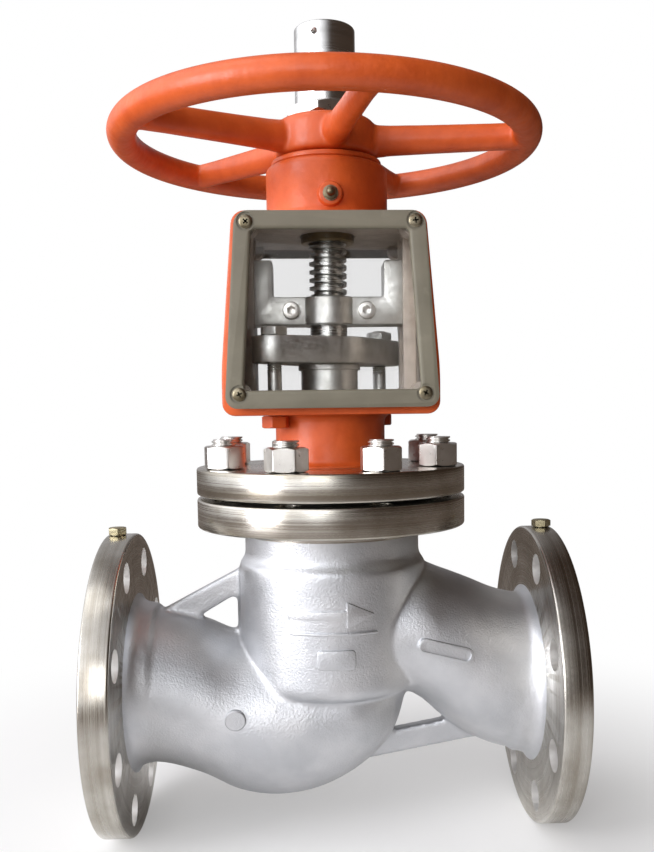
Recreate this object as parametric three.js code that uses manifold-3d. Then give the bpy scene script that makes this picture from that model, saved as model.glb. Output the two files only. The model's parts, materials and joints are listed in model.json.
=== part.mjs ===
// Flanged globe valve, outside screw, handwheel operated, drawn closed.
// Millimetres, +Z up. The origin is where the pipe axis (X) meets the stem axis (Z).
// The inlet is on the -X side and the window of the yoke looks along Y.
import * as THREE from 'three';
import { mergeVertices } from 'three/addons/utils/BufferGeometryUtils.js';
import Module from 'manifold-3d';

const wasm = await Module();
wasm.setup();

// driving dimensions
const FIT_GAP = 0.3;
const FACE_TO_FACE = 350;
const PORT_RADIUS = 50;

const FLANGE_RADIUS = 115;
const FLANGE_THICKNESS = 20.5;
const RAISED_FACE_RADIUS = 80;
const RAISED_FACE_HEIGHT = 3;
const FLANGE_BOLT_COUNT = 8;
const FLANGE_BOLT_CIRCLE = 95;
const FLANGE_HOLE_RADIUS = 11.5;

const BARREL_RADIUS = 70.5;
const BARREL_BOTTOM = 0;
const BARREL_SHOULDER = 98;
const BODY_NECK_RADIUS = 66.9;
const MARK_HEIGHT = 2; // of the cast marks on the barrel
const CHAMBER_RADIUS = 57;
const CHAMBER_FLOOR = 12;
const SEAT_HEIGHT = 2;
const SEAT_WIDTH = 4.5;

const COVER_FLANGE_RADIUS = 102.2;
const BODY_FLANGE_BOTTOM = 121.6;
const BODY_FLANGE_TOP = 143.15;
const BONNET_FLANGE_BOTTOM = 146.25;
const BONNET_FLANGE_TOP = 166.2;
const STUD_COUNT = 8;
const STUD_CIRCLE = 85;
const STUD_RADIUS = 9;
const STUD_TOP = 188;
const STUD_BOTTOM = 126.5;
const STUD_NUT_FLATS = 27;
const STUD_NUT_HEIGHT = 17;
// where one corner of each bonnet nut points, in degrees
const STUD_NUT_CORNERS = [12, 35, 52, 20, 44, 55, 33, 17];

const LIFT = 18;
const STEM_RADIUS = 14;
const STEM_TOP = 460;
const BACKSEAT_HEIGHT = 122;
const STEM_COLLAR_RADIUS = 18;
const STEM_BUTTON_RADIUS = 20;
const STEM_BUTTON_BOTTOM = 19.1;
const STEM_BUTTON_TOP = 26;
const DISC_RADIUS = 55.5;
const DISC_BOTTOM = CHAMBER_FLOOR + SEAT_HEIGHT + FIT_GAP;
const DISC_HUB_TOP = 52;
const DISC_HUB_BORE = 22.5;

const YOKE_NECK_RADIUS = 41.7;
const STUFFING_RADIUS = 22.3;
const STUFFING_BOTTOM = 172;
const PACKING_RING_COUNT = 4;
const PACKING_RING_HEIGHT = 8;
const PACKING_SEAT_HEIGHT = 4.7;
const FOLLOWER_RADIUS = 21.6;
const FOLLOWER_COLLAR_RADIUS = 23.6;
const FOLLOWER_COLLAR_HEIGHT = 4.2;

const YOKE_BOTTOM = 205;
const YOKE_FLOOR = 218;
const YOKE_CEILING = 338.5;
const YOKE_TOP = 346.5;
const YOKE_HALF_DEPTH = 58;
const YOKE_WALL = 9;
const YOKE_BOTTOM_HALF_WIDTH = 77;
const YOKE_TOP_HALF_WIDTH = 67.5;
const YOKE_TAPER_START = 236;
const RAIL_INNER = 55;
const RAIL_NEAR = 13.8;
const RAIL_WIDTH = 6;

const GLAND_ANGLE = THREE.MathUtils.degToRad(38.5);
const GLAND_BOLT_OFFSET = 52;
const GLAND_END_RADIUS = 16.3;
const GLAND_CENTRE_RADIUS = 32;
const GLAND_FLANGE_BOTTOM = 242.8;
const GLAND_FLANGE_TOP = 262.3;
const GLAND_BOLT_RADIUS = 5.5;
const GLAND_NUT_FLATS = 18;
const GLAND_NUT_HEIGHT = 6.5;
const GLAND_HEAD_HEIGHT = 9;
const GLAND_HEAD_ANGLE = THREE.MathUtils.degToRad(48);

const GUIDE_HALF_WIDTH = 57;
const GUIDE_BOTTOM = 272;
const GUIDE_TOP = 292.5;
const GUIDE_EAR_TOP = 319.5;
const GUIDE_EAR_WIDTH = 15.5;
const GUIDE_HALF_THICKNESS = 13;
const GUIDE_BOLT_OFFSET = 28;
const GUIDE_BOLT_RADIUS = 4;
const GUIDE_BOLT_HEAD_RADIUS = 6.5;
const GUIDE_BOLT_HEAD_HEIGHT = 4.5;

const HOUSING_RADIUS = 45.3;
const HOUSING_TOP = 388;
const HOUSING_TOP_RADIUS = 41;
const BEARING_BORE = 30.6;
const BEARING_FLOOR = 351;
const BEARING_OUTER = 30.2;
const BEARING_INNER = 20.4;
const RACE_HEIGHT = 3.6;
const BALL_RADIUS = 2.6;
const BALL_CIRCLE = 25.3;
const CAP_RADIUS = 41;
const CAP_TOP = 392.4;

const SLEEVE_RADIUS = 20;
const SLEEVE_BOTTOM = 333;
const SLEEVE_TOP = 445;
const SLEEVE_BORE = STEM_RADIUS + FIT_GAP;
const SLEEVE_COLLAR_RADIUS = 29;
const SLEEVE_COLLAR_HEIGHT = 5;

const WHEEL_RADIUS = 148.5;
const WHEEL_RIM_RADIUS = 10.6;
const WHEEL_HEIGHT = 407;
const WHEEL_SPOKE_COUNT = 5;
const WHEEL_FIRST_SPOKE = THREE.MathUtils.degToRad(-80);
const HUB_RADIUS = 37.7;
const HUB_BOTTOM = 394.6;
const HUB_TOP = 421.5;
const LOCK_NUT_FLATS = 52;
const LOCK_NUT_HEIGHT = 10;
const LOCK_NUT_ANGLE = THREE.MathUtils.degToRad(-13);
const TUBE_RADIUS = 22.5;
const TUBE_TOP = 488;
const KEY_WIDTH = 8;
const KEY_DEPTH = 7;

const PANE_THICKNESS = 2.8;
const FRAME_THICKNESS = 4.4;

// round shapes are cut into this many sides
const LARGE_ROUND = 26;
const MEDIUM_ROUND = 20;
const SMALL_ROUND = 12;
const HOLE_ROUND = 8;

const valve = new THREE.Group();

// ---------------------------------------------------------------- geometry helpers

function signedVolume(positions, faces) {
  const a = new THREE.Vector3();
  const b = new THREE.Vector3();
  const c = new THREE.Vector3();
  let volume = 0;
  for (let i = 0; i < faces.length; i += 3) {
    a.fromArray(positions, 3 * faces[i]);
    b.fromArray(positions, 3 * faces[i + 1]);
    c.fromArray(positions, 3 * faces[i + 2]);
    volume += a.dot(b.cross(c)) / 6;
  }
  return volume;
}

function solidOf(geometry) {
  geometry.deleteAttribute('normal');
  geometry.deleteAttribute('uv');
  const welded = mergeVertices(geometry, 1e-3);
  const corners = welded.index.array;
  const faces = [];
  for (let i = 0; i < corners.length; i += 3) {
    const [a, b, c] = [corners[i], corners[i + 1], corners[i + 2]];
    if (a !== b && b !== c && c !== a) faces.push(a, b, c);
  }
  const positions = Float32Array.from(welded.attributes.position.array);
  if (signedVolume(positions, faces) < 0) faces.reverse();
  return new wasm.Manifold(
    new wasm.Mesh({ numProp: 3, vertProperties: positions, triVerts: Uint32Array.from(faces) }),
  );
}

function joined(solids) {
  return solids.reduce((whole, piece) => whole.add(piece));
}

function cutBy(solid, cutters) {
  return cutters.reduce((rest, cutter) => rest.subtract(cutter), solid);
}

// points of an arc in a profile, angles in degrees, first and last included
function arc(centreX, centreY, radius, from, to, steps = 4) {
  return Array.from({ length: steps + 1 }, (_, i) => {
    const angle = THREE.MathUtils.degToRad(from + ((to - from) * i) / steps);
    return [centreX + radius * Math.cos(angle), centreY + radius * Math.sin(angle)];
  });
}

// profile of [radius, height] points turned about Z
function turned(profile, sides = MEDIUM_ROUND) {
  const points = profile.map(([r, h]) => new THREE.Vector2(r, h));
  const onAxis = profile[0][0] === 0 && profile.at(-1)[0] === 0;
  if (!onAxis) points.push(points[0].clone());
  return new THREE.LatheGeometry(points, sides).rotateX(Math.PI / 2);
}

function turnedSolid(profile, sides) {
  return solidOf(turned(profile, sides));
}

function ringSolid(inner, outer, bottom, top, sides) {
  return turnedSolid([[inner, bottom], [outer, bottom], [outer, top], [inner, top]], sides);
}

function rodSolid(radius, bottom, top, sides) {
  return turnedSolid([[0, bottom], [radius, bottom], [radius, top], [0, top]], sides);
}

// rod along an axis through (x, y, z), from the first distance to the second
function rodAlong(axis, [x, y, z], radius, from, to, sides = HOLE_ROUND) {
  const rod = turned([[0, from], [radius, from], [radius, to], [0, to]], sides);
  if (axis === 'x') rod.rotateY(Math.PI / 2);
  if (axis === 'y') rod.rotateX(-Math.PI / 2);
  return solidOf(rod.translate(x, y, z));
}

function boxSolid(low, high) {
  const size = high.map((value, i) => value - low[i]);
  const centre = high.map((value, i) => (value + low[i]) / 2);
  return solidOf(new THREE.BoxGeometry(...size).translate(...centre));
}

// outline of [x, y] corners, counter-clockwise, with each corner rounded off
function roundedShape(corners, radius) {
  const shape = new THREE.Shape();
  corners.forEach(([x, y], i) => {
    const here = new THREE.Vector2(x, y);
    const before = new THREE.Vector2(...corners.at(i - 1));
    const after = new THREE.Vector2(...corners[(i + 1) % corners.length]);
    const start = here.clone().add(before.sub(here).setLength(radius));
    const end = here.clone().add(after.sub(here).setLength(radius));
    if (i === 0) shape.moveTo(start.x, start.y);
    else shape.lineTo(start.x, start.y);
    shape.quadraticCurveTo(x, y, end.x, end.y);
  });
  shape.closePath();
  return shape;
}

// a shape drawn in X and Z, thick along Y between two places
function slabSolid(shape, nearY, farY, curveSegments = 3) {
  const depth = farY - nearY;
  const slab = new THREE.ExtrudeGeometry(shape, { depth, bevelEnabled: false, curveSegments });
  return solidOf(slab.rotateX(Math.PI / 2).translate(0, farY, 0));
}

// a shape drawn in X and Y, thick along Z
function plateSolid(shape, bottom, top, curveSegments = 4) {
  const depth = top - bottom;
  const plate = new THREE.ExtrudeGeometry(shape, { depth, bevelEnabled: false, curveSegments });
  return solidOf(plate.translate(0, 0, bottom));
}

// hexagon whose corners are cut back at the top, and at the bottom too when asked;
// one corner points a quarter turn before the angle
function hexSolid(flats, bottom, top, angle, bothEnds) {
  const corner = flats / Math.sqrt(3);
  const cut = 0.08 * flats;
  const base = bothEnds ? [[corner - cut, bottom], [corner, bottom + cut / 2]] : [[corner, bottom]];
  const profile = [[0, bottom], ...base, [corner, top - cut / 2], [corner - cut, top], [0, top]];
  return solidOf(turned(profile, 6).rotateZ(angle));
}

// closed skin through elliptical sections that stand across X
function passageSolid(stations, ringCount, sides) {
  const line = (key) => new THREE.SplineCurve(stations.map((s) => new THREE.Vector2(s.x, s[key])));
  const lines = { top: line('top'), bottom: line('bottom'), width: line('halfWidth') };
  const positions = [];
  const faces = [];
  for (let i = 0; i <= ringCount; i += 1) {
    const along = i / ringCount;
    const top = lines.top.getPoint(along);
    const bottom = lines.bottom.getPoint(along);
    const halfWidth = lines.width.getPoint(along).y;
    for (let k = 0; k < sides; k += 1) {
      const angle = (2 * Math.PI * k) / sides;
      const height = (top.y + bottom.y) / 2 + ((top.y - bottom.y) / 2) * Math.sin(angle);
      positions.push(top.x, halfWidth * Math.cos(angle), height);
    }
  }
  for (let i = 0; i < ringCount; i += 1) {
    for (let k = 0; k < sides; k += 1) {
      const next = (k + 1) % sides;
      const [a, b] = [i * sides + k, i * sides + next];
      faces.push(a, b, b + sides, a, b + sides, a + sides);
    }
  }
  for (let k = 1; k < sides - 1; k += 1) {
    const last = ringCount * sides;
    faces.push(0, k + 1, k, last, last + k, last + k + 1);
  }
  const skin = new THREE.BufferGeometry();
  skin.setAttribute('position', new THREE.Float32BufferAttribute(positions, 3));
  skin.setIndex(faces);
  return solidOf(skin);
}

// angle of each bolt of a circle whose holes straddle the centre lines
function boltAngles(count) {
  return Array.from({ length: count }, (_, i) => (2 * Math.PI * (i + 0.5)) / count);
}

function addPart(name, solid, color, roughness, metalness) {
  const mesh = solid.getMesh();
  const geometry = new THREE.BufferGeometry();
  geometry.setAttribute('position', new THREE.Float32BufferAttribute(mesh.vertProperties, 3));
  geometry.setIndex(Array.from(mesh.triVerts));
  geometry.computeVertexNormals();
  const part = new THREE.Mesh(
    geometry,
    new THREE.MeshStandardMaterial({ color, roughness, metalness }),
  );
  part.name = name;
  valve.add(part);
}

const castSteel = ['#b4b6b5', 0.55, 0.9];
const turnedSteel = ['#c3c2bd', 0.3, 1];
const greySteel = ['#8b8b84', 0.5, 0.8];
const orangeEnamel = ['#d9521f', 0.4, 0];
const olivePaint = ['#8a887a', 0.5, 0.1];

// ---------------------------------------------------------------- body

const INLET_OUTSIDE = [
  { x: -156, top: 60, bottom: -60.5, halfWidth: 60.5 },
  { x: -130, top: 56.5, bottom: -61.5, halfWidth: 60 },
  { x: -100, top: 48, bottom: -71, halfWidth: 60.5 },
  { x: -74, top: 37, bottom: -84, halfWidth: 62 },
  { x: -45, top: 36, bottom: -89, halfWidth: 64 },
  { x: -12, top: 38, bottom: -84, halfWidth: 63 },
  { x: 20, top: 38, bottom: -67, halfWidth: 59 },
  { x: 46, top: 34, bottom: -45, halfWidth: 43 },
  { x: 60, top: 20, bottom: -8, halfWidth: 16 },
];
const INLET_PASSAGE = [
  { x: -176, top: 50, bottom: -50, halfWidth: 50 },
  { x: -140, top: 48, bottom: -51, halfWidth: 50 },
  { x: -105, top: 39, bottom: -62, halfWidth: 50.5 },
  { x: -76, top: 24, bottom: -76, halfWidth: 51.5 },
  { x: -50, top: -4, bottom: -81, halfWidth: 53.5 },
  { x: -12, top: -6, bottom: -76, halfWidth: 53 },
  { x: 20, top: -6, bottom: -59, halfWidth: 49 },
  { x: 42, top: -8, bottom: -38, halfWidth: 33 },
  { x: 50, top: -14, bottom: -22, halfWidth: 12 },
];
const OUTLET_OUTSIDE = [
  { x: 20, top: 86, bottom: 0, halfWidth: 58 },
  { x: 60, top: 92, bottom: -12, halfWidth: 60 },
  { x: 84, top: 84.5, bottom: -32, halfWidth: 61 },
  { x: 106, top: 76, bottom: -47.5, halfWidth: 61 },
  { x: 130, top: 66, bottom: -57, halfWidth: 61 },
  { x: 156, top: 60.5, bottom: -61, halfWidth: 60.5 },
];
const OUTLET_PASSAGE = [
  { x: 40, top: 80, bottom: 17, halfWidth: 44 },
  { x: 60, top: 80, bottom: 8, halfWidth: 48 },
  { x: 84, top: 72, bottom: -19, halfWidth: 50 },
  { x: 108, top: 62, bottom: -37, halfWidth: 50 },
  { x: 140, top: 51, bottom: -49, halfWidth: 50 },
  { x: 176, top: 50, bottom: -50, halfWidth: 50 },
];

function barrelSolid() {
  const cornerRadius = 9;
  const profile = [
    [0, BARREL_BOTTOM],
    ...arc(BARREL_RADIUS - cornerRadius, BARREL_BOTTOM + cornerRadius, cornerRadius, -90, 0, 2),
    ...arc(BARREL_RADIUS - 8, BARREL_SHOULDER - 12, 8, 0, 50, 1),
    [BODY_NECK_RADIUS, BARREL_SHOULDER + 3],
    ...arc(BODY_NECK_RADIUS + 5, BODY_FLANGE_BOTTOM - 5, 5, 180, 90, 1),
    ...arc(COVER_FLANGE_RADIUS - 1.5, BODY_FLANGE_BOTTOM + 1.5, 1.5, -90, 0, 1),
    ...arc(COVER_FLANGE_RADIUS - 1.5, BODY_FLANGE_TOP - 1.5, 1.5, 0, 90, 1),
    [0, BODY_FLANGE_TOP],
  ];
  return turnedSolid(profile, LARGE_ROUND);
}

// pipe flange with its neck, for the end on the given side of the body
function pipeFlangeSolid(side) {
  const face = FACE_TO_FACE / 2;
  const rimFront = face - RAISED_FACE_HEIGHT;
  const rimBack = rimFront - FLANGE_THICKNESS;
  const flange = turned([
    [0, rimBack - 14], [PORT_RADIUS + 9, rimBack - 14],
    ...arc(PORT_RADIUS + 20, rimBack - 9, 9, 180, 90, 2),
    ...arc(FLANGE_RADIUS - 1.5, rimBack + 1.5, 1.5, -90, 0, 1),
    ...arc(FLANGE_RADIUS - 1.5, rimFront - 1.5, 1.5, 0, 90, 1),
    [RAISED_FACE_RADIUS, rimFront], [RAISED_FACE_RADIUS, face], [0, face],
  ], LARGE_ROUND);
  return solidOf(flange.rotateY((side * Math.PI) / 2));
}

function flangeHoles(side) {
  const outward = FACE_TO_FACE / 2 + 1;
  const inward = outward - 40;
  return boltAngles(FLANGE_BOLT_COUNT).map((angle) => {
    const place = [0, FLANGE_BOLT_CIRCLE * Math.cos(angle), FLANGE_BOLT_CIRCLE * Math.sin(angle)];
    const [from, to] = side > 0 ? [inward, outward] : [-outward, -inward];
    return rodAlong('x', place, FLANGE_HOLE_RADIUS, from, to);
  });
}

// flat webs in the middle plane that stiffen the two branches
function webSolids() {
  const upper = roundedShape([[-130, 40], [-100, 30], [-64, 34], [-64, 92], [-136, 52]], 2);
  upper.holes.push(roundedShape([[-104, 50.5], [-74, 38], [-74, 68]], 3));
  const lower = roundedShape([[24, -70], [118, -50], [110, -36], [62, 0], [40, -20]], 2);
  lower.holes.push(roundedShape([[47, -43], [62, -11], [88, -36]], 3));
  return [slabSolid(upper, -5, 5), slabSolid(lower, -6, 6)];
}

// outline in (x, z) stood off the front of the barrel by an even height
function barrelMark(shape) {
  const skin = rodSolid(BARREL_RADIUS + MARK_HEIGHT, 0, BARREL_SHOULDER - 10, LARGE_ROUND);
  return slabSolid(shape, -BARREL_RADIUS - 4, -BARREL_RADIUS + 10).intersect(skin);
}

// raised flow arrow, line and blank plate, oblong blank bar and round foundry pad of the casting
function castMarks() {
  const arrow = new THREE.Shape([[-34, -3], [8, -3], [8, -9.5], [28, 0], [8, 9.5], [8, 3], [-34, 3]]
    .map(([x, z]) => new THREE.Vector2(x, z + 64)));
  const line = roundedShape([[-33, 49.6], [30, 49.6], [30, 51.4], [-33, 51.4]], 0.6);
  const plate = roundedShape([[-14, 25], [14, 25], [14, 39], [-14, 39]], 3);
  const bar = roundedShape([[-21, -5.6], [21, -5.6], [21, 5.6], [-21, 5.6]], 5.4);
  const barSlab = new THREE.ExtrudeGeometry(bar, { depth: 12, bevelEnabled: false, curveSegments: 3 });
  const { degToRad } = THREE.MathUtils;
  barSlab.rotateX(Math.PI / 2).rotateY(degToRad(15)).rotateZ(degToRad(3)).translate(79.5, -51, 34);
  const pad = rodAlong('y', [-73, 0, -13], 7.6, -63.2, -50);
  return [barrelMark(arrow), barrelMark(line), barrelMark(plate), solidOf(barSlab), pad];
}

function studHoles(bottom, top) {
  return boltAngles(STUD_COUNT).map((angle) => {
    const hole = turned([
      [0, bottom], [STUD_RADIUS + 0.45, bottom], [STUD_RADIUS + 0.45, top], [0, top],
    ], HOLE_ROUND);
    hole.translate(STUD_CIRCLE * Math.cos(angle), STUD_CIRCLE * Math.sin(angle), 0);
    return solidOf(hole);
  });
}

function bodySolid() {
  const outside = joined([
    passageSolid(INLET_OUTSIDE, 11, 18),
    passageSolid(OUTLET_OUTSIDE, 5, 18),
    barrelSolid(),
    pipeFlangeSolid(-1),
    pipeFlangeSolid(1),
    ...webSolids(),
    ...castMarks(),
  ]);
  const seatRing = ringSolid(
    PORT_RADIUS - 1, PORT_RADIUS + SEAT_WIDTH, CHAMBER_FLOOR - 3, CHAMBER_FLOOR + SEAT_HEIGHT,
    LARGE_ROUND,
  );
  const flowPath = joined([
    passageSolid(INLET_PASSAGE, 8, 14),
    passageSolid(OUTLET_PASSAGE, 4, 14),
    rodSolid(CHAMBER_RADIUS, CHAMBER_FLOOR, BODY_FLANGE_TOP + 1, LARGE_ROUND).subtract(seatRing),
    rodSolid(PORT_RADIUS - 1.5, -18, CHAMBER_FLOOR + SEAT_HEIGHT + 1, LARGE_ROUND),
  ]);
  return cutBy(outside, [
    flowPath,
    ...flangeHoles(-1),
    ...flangeHoles(1),
    ...studHoles(STUD_BOTTOM - 1, BODY_FLANGE_TOP + 1),
    ...[-1, 1].map((side) => rodAlong('z', groundingPlace(side), 4.4, -14, 2)),
  ]);
}

function groundingPlace(side) {
  const middle = FACE_TO_FACE / 2 - RAISED_FACE_HEIGHT - FLANGE_THICKNESS / 2;
  return [side * (middle + 2.5), 0, FLANGE_RADIUS];
}

addPart('body', bodySolid(), ...castSteel);

['inlet', 'outlet'].forEach((end, i) => {
  const [x, y, z] = groundingPlace(i === 0 ? -1 : 1);
  const head = hexSolid(13, FIT_GAP, 5.8, 0, false);
  const bolt = head.add(rodSolid(4, -12, 1, HOLE_ROUND)).translate([x, y, z]);
  addPart(`grounding_bolt_${end}`, bolt, ...turnedSteel);
});

// ---------------------------------------------------------------- bonnet and yoke

const YOKE_OUTLINE = [
  [-YOKE_BOTTOM_HALF_WIDTH, YOKE_BOTTOM], [YOKE_BOTTOM_HALF_WIDTH, YOKE_BOTTOM],
  [YOKE_BOTTOM_HALF_WIDTH, YOKE_TAPER_START], [YOKE_TOP_HALF_WIDTH, YOKE_TOP],
  [-YOKE_TOP_HALF_WIDTH, YOKE_TOP], [-YOKE_BOTTOM_HALF_WIDTH, YOKE_TAPER_START],
];

function bonnetCoreSolid() {
  const corner = 1.5;
  return turnedSolid([
    [0, BACKSEAT_HEIGHT], [30, BACKSEAT_HEIGHT], [34, BACKSEAT_HEIGHT + 15],
    [CHAMBER_RADIUS - 0.5, BACKSEAT_HEIGHT + 15],
    [CHAMBER_RADIUS - 0.5, BONNET_FLANGE_BOTTOM],
    ...arc(COVER_FLANGE_RADIUS - corner, BONNET_FLANGE_BOTTOM + corner, corner, -90, 0, 1),
    ...arc(COVER_FLANGE_RADIUS - corner, BONNET_FLANGE_TOP - corner, corner, 0, 90, 1),
    ...arc(YOKE_NECK_RADIUS + 7, BONNET_FLANGE_TOP + 7, 7, -90, -180, 3),
    [YOKE_NECK_RADIUS, YOKE_BOTTOM + 1], [0, YOKE_BOTTOM + 1],
  ], LARGE_ROUND);
}

function housingSolid() {
  return turnedSolid([
    [0, YOKE_CEILING + 1], [HOUSING_RADIUS + 5, YOKE_CEILING + 1],
    ...arc(HOUSING_RADIUS + 7, YOKE_TOP + 6, 7, -90, -180, 2),
    ...arc(HOUSING_RADIUS - 6, HOUSING_TOP - 6, 6, 0, 70, 3),
    [HOUSING_TOP_RADIUS, HOUSING_TOP], [0, HOUSING_TOP],
  ], LARGE_ROUND);
}

function yokeBoxSolid() {
  const inset = YOKE_WALL;
  const inside = roundedShape([
    [-YOKE_BOTTOM_HALF_WIDTH + inset, YOKE_FLOOR], [YOKE_BOTTOM_HALF_WIDTH - inset, YOKE_FLOOR],
    [YOKE_BOTTOM_HALF_WIDTH - inset, YOKE_TAPER_START],
    [YOKE_TOP_HALF_WIDTH - inset + 0.8, YOKE_CEILING],
    [-YOKE_TOP_HALF_WIDTH + inset - 0.8, YOKE_CEILING],
    [-YOKE_BOTTOM_HALF_WIDTH + inset, YOKE_TAPER_START],
  ], 5);
  const outline = roundedShape(YOKE_OUTLINE, 9);
  outline.holes.push(inside);
  return slabSolid(outline, -YOKE_HALF_DEPTH, YOKE_HALF_DEPTH);
}

// vertical rails that stop the guide plate from turning
function railSolids() {
  const rails = [];
  for (const side of [-1, 1]) {
    for (const face of [-1, 1]) {
      const x = [side * RAIL_INNER, side * (YOKE_TOP_HALF_WIDTH - 3)].sort((a, b) => a - b);
      const y = [face * RAIL_NEAR, face * (RAIL_NEAR + RAIL_WIDTH)].sort((a, b) => a - b);
      rails.push(boxSolid([x[0], y[0], YOKE_FLOOR - 1], [x[1], y[1], YOKE_CEILING + 1]));
    }
  }
  return rails;
}

// bosses behind the window corners that take the frame screws
const SCREW_PLACES = [[-64, 220.5], [64, 220.5], [57.5, 336.5], [-57.5, 336.5]];

function screwBosses() {
  return SCREW_PLACES.flatMap(([x, z]) => [-1, 1].map((side) => {
    const [from, to] = [side * YOKE_HALF_DEPTH, side * (YOKE_HALF_DEPTH - 16)].sort((a, b) => a - b);
    return rodAlong('y', [x, 0, z], 7.5, from, to);
  }));
}

const glandBoltPlaces = [['left', -1], ['right', 1]].map(([side, sign]) => ({
  side,
  x: sign * GLAND_BOLT_OFFSET * Math.cos(GLAND_ANGLE),
  y: sign * GLAND_BOLT_OFFSET * Math.sin(GLAND_ANGLE),
}));

const NIPPLE_PLACE = { x: 1.4, y: -HOUSING_RADIUS, z: 360 };

function bonnetYokeSolid() {
  const { x, z } = NIPPLE_PLACE;
  const solid = joined([
    bonnetCoreSolid(),
    yokeBoxSolid(),
    housingSolid(),
    ...railSolids(),
    ...screwBosses(),
    rodAlong('y', [x, 0, z], 8.4, -HOUSING_RADIUS - 3, -HOUSING_RADIUS + 6, SMALL_ROUND),
  ]);
  return cutBy(solid, [
    rodSolid(STEM_RADIUS + 0.6, BACKSEAT_HEIGHT - 1, YOKE_FLOOR + 1),
    rodSolid(STUFFING_RADIUS, STUFFING_BOTTOM, YOKE_FLOOR + 1),
    rodSolid(SLEEVE_RADIUS + 0.8, YOKE_CEILING - 1, BEARING_FLOOR + 1),
    rodSolid(BEARING_BORE, BEARING_FLOOR, HOUSING_TOP + 1),
    ...studHoles(BONNET_FLANGE_BOTTOM - 1, BONNET_FLANGE_TOP + 9),
    ...glandBoltPlaces.map((at) => rodAlong('z', [at.x, at.y, 0], GLAND_BOLT_RADIUS + 0.4,
      YOKE_BOTTOM - 1, YOKE_FLOOR + 1)),
    rodAlong('y', [x, 0, z], 3, -HOUSING_RADIUS - 4, -BEARING_BORE + 2),
  ]);
}

addPart('bonnet_yoke', bonnetYokeSolid(), ...orangeEnamel);

addPart('bonnet_gasket', ringSolid(
  CHAMBER_RADIUS + 1, STUD_CIRCLE - STUD_RADIUS - 1.5,
  BODY_FLANGE_TOP + FIT_GAP, BONNET_FLANGE_BOTTOM - FIT_GAP, MEDIUM_ROUND,
), '#3a3a3a', 0.8, 0);

boltAngles(STUD_COUNT).forEach((angle, i) => {
  const place = [STUD_CIRCLE * Math.cos(angle), STUD_CIRCLE * Math.sin(angle), 0];
  const stud = turnedSolid([
    [0, STUD_BOTTOM], [STUD_RADIUS, STUD_BOTTOM], [STUD_RADIUS, STUD_TOP - 2],
    [STUD_RADIUS - 2, STUD_TOP], [0, STUD_TOP],
  ], HOLE_ROUND);
  const nutBottom = BONNET_FLANGE_TOP + FIT_GAP;
  const turn = THREE.MathUtils.degToRad(STUD_NUT_CORNERS[i] + 90);
  const nut = hexSolid(STUD_NUT_FLATS, nutBottom, nutBottom + STUD_NUT_HEIGHT, turn, false);
  const bore = rodSolid(STUD_RADIUS + FIT_GAP, nutBottom - 1, STUD_TOP, HOLE_ROUND);
  addPart(`bonnet_stud_${i + 1}`, stud.translate(place), ...turnedSteel);
  addPart(`bonnet_nut_${i + 1}`, nut.subtract(bore).translate(place), ...turnedSteel);
});

// ---------------------------------------------------------------- stem packing and gland

const packingBore = STEM_RADIUS + FIT_GAP;
let packingLevel = STUFFING_BOTTOM + FIT_GAP;
addPart('packing_seat_ring', ringSolid(
  packingBore, STUFFING_RADIUS - FIT_GAP, packingLevel, packingLevel + PACKING_SEAT_HEIGHT,
), ...greySteel);
packingLevel += PACKING_SEAT_HEIGHT + FIT_GAP;
for (let i = 1; i <= PACKING_RING_COUNT; i += 1) {
  const top = packingLevel + PACKING_RING_HEIGHT;
  addPart(`packing_ring_${i}`, ringSolid(
    packingBore, STUFFING_RADIUS - FIT_GAP, packingLevel, top,
  ), '#e6e4dc', 0.9, 0);
  packingLevel = top + FIT_GAP;
}

const collarTop = GLAND_FLANGE_BOTTOM - FIT_GAP;
addPart('gland_follower', turnedSolid([
  [packingBore, packingLevel], [FOLLOWER_RADIUS, packingLevel],
  [FOLLOWER_RADIUS, collarTop - FOLLOWER_COLLAR_HEIGHT],
  [FOLLOWER_COLLAR_RADIUS, collarTop - FOLLOWER_COLLAR_HEIGHT],
  [FOLLOWER_COLLAR_RADIUS, collarTop], [packingBore, collarTop],
]), ...greySteel);

// oval plate: a middle circle joined to two end circles by their shared tangents
function glandShape() {
  const touch = Math.acos((GLAND_CENTRE_RADIUS - GLAND_END_RADIUS) / GLAND_BOLT_OFFSET);
  const shape = new THREE.Shape();
  shape.absarc(GLAND_BOLT_OFFSET, 0, GLAND_END_RADIUS, -touch, touch);
  shape.absarc(0, 0, GLAND_CENTRE_RADIUS, touch, Math.PI - touch);
  shape.absarc(-GLAND_BOLT_OFFSET, 0, GLAND_END_RADIUS, Math.PI - touch, Math.PI + touch);
  shape.absarc(0, 0, GLAND_CENTRE_RADIUS, Math.PI + touch, 2 * Math.PI - touch);
  return shape;
}

const glandPlate = plateSolid(glandShape(), GLAND_FLANGE_BOTTOM, GLAND_FLANGE_TOP, 6)
  .rotate([0, 0, THREE.MathUtils.radToDeg(GLAND_ANGLE)]);
addPart('gland_flange', cutBy(glandPlate, [
  rodSolid(STEM_RADIUS + 0.8, GLAND_FLANGE_BOTTOM - 1, GLAND_FLANGE_TOP + 1),
  ...glandBoltPlaces.map((at) => rodAlong('z', [at.x, at.y, 0], GLAND_BOLT_RADIUS + 0.5,
    GLAND_FLANGE_BOTTOM - 1, GLAND_FLANGE_TOP + 1)),
]), ...greySteel);

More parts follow.
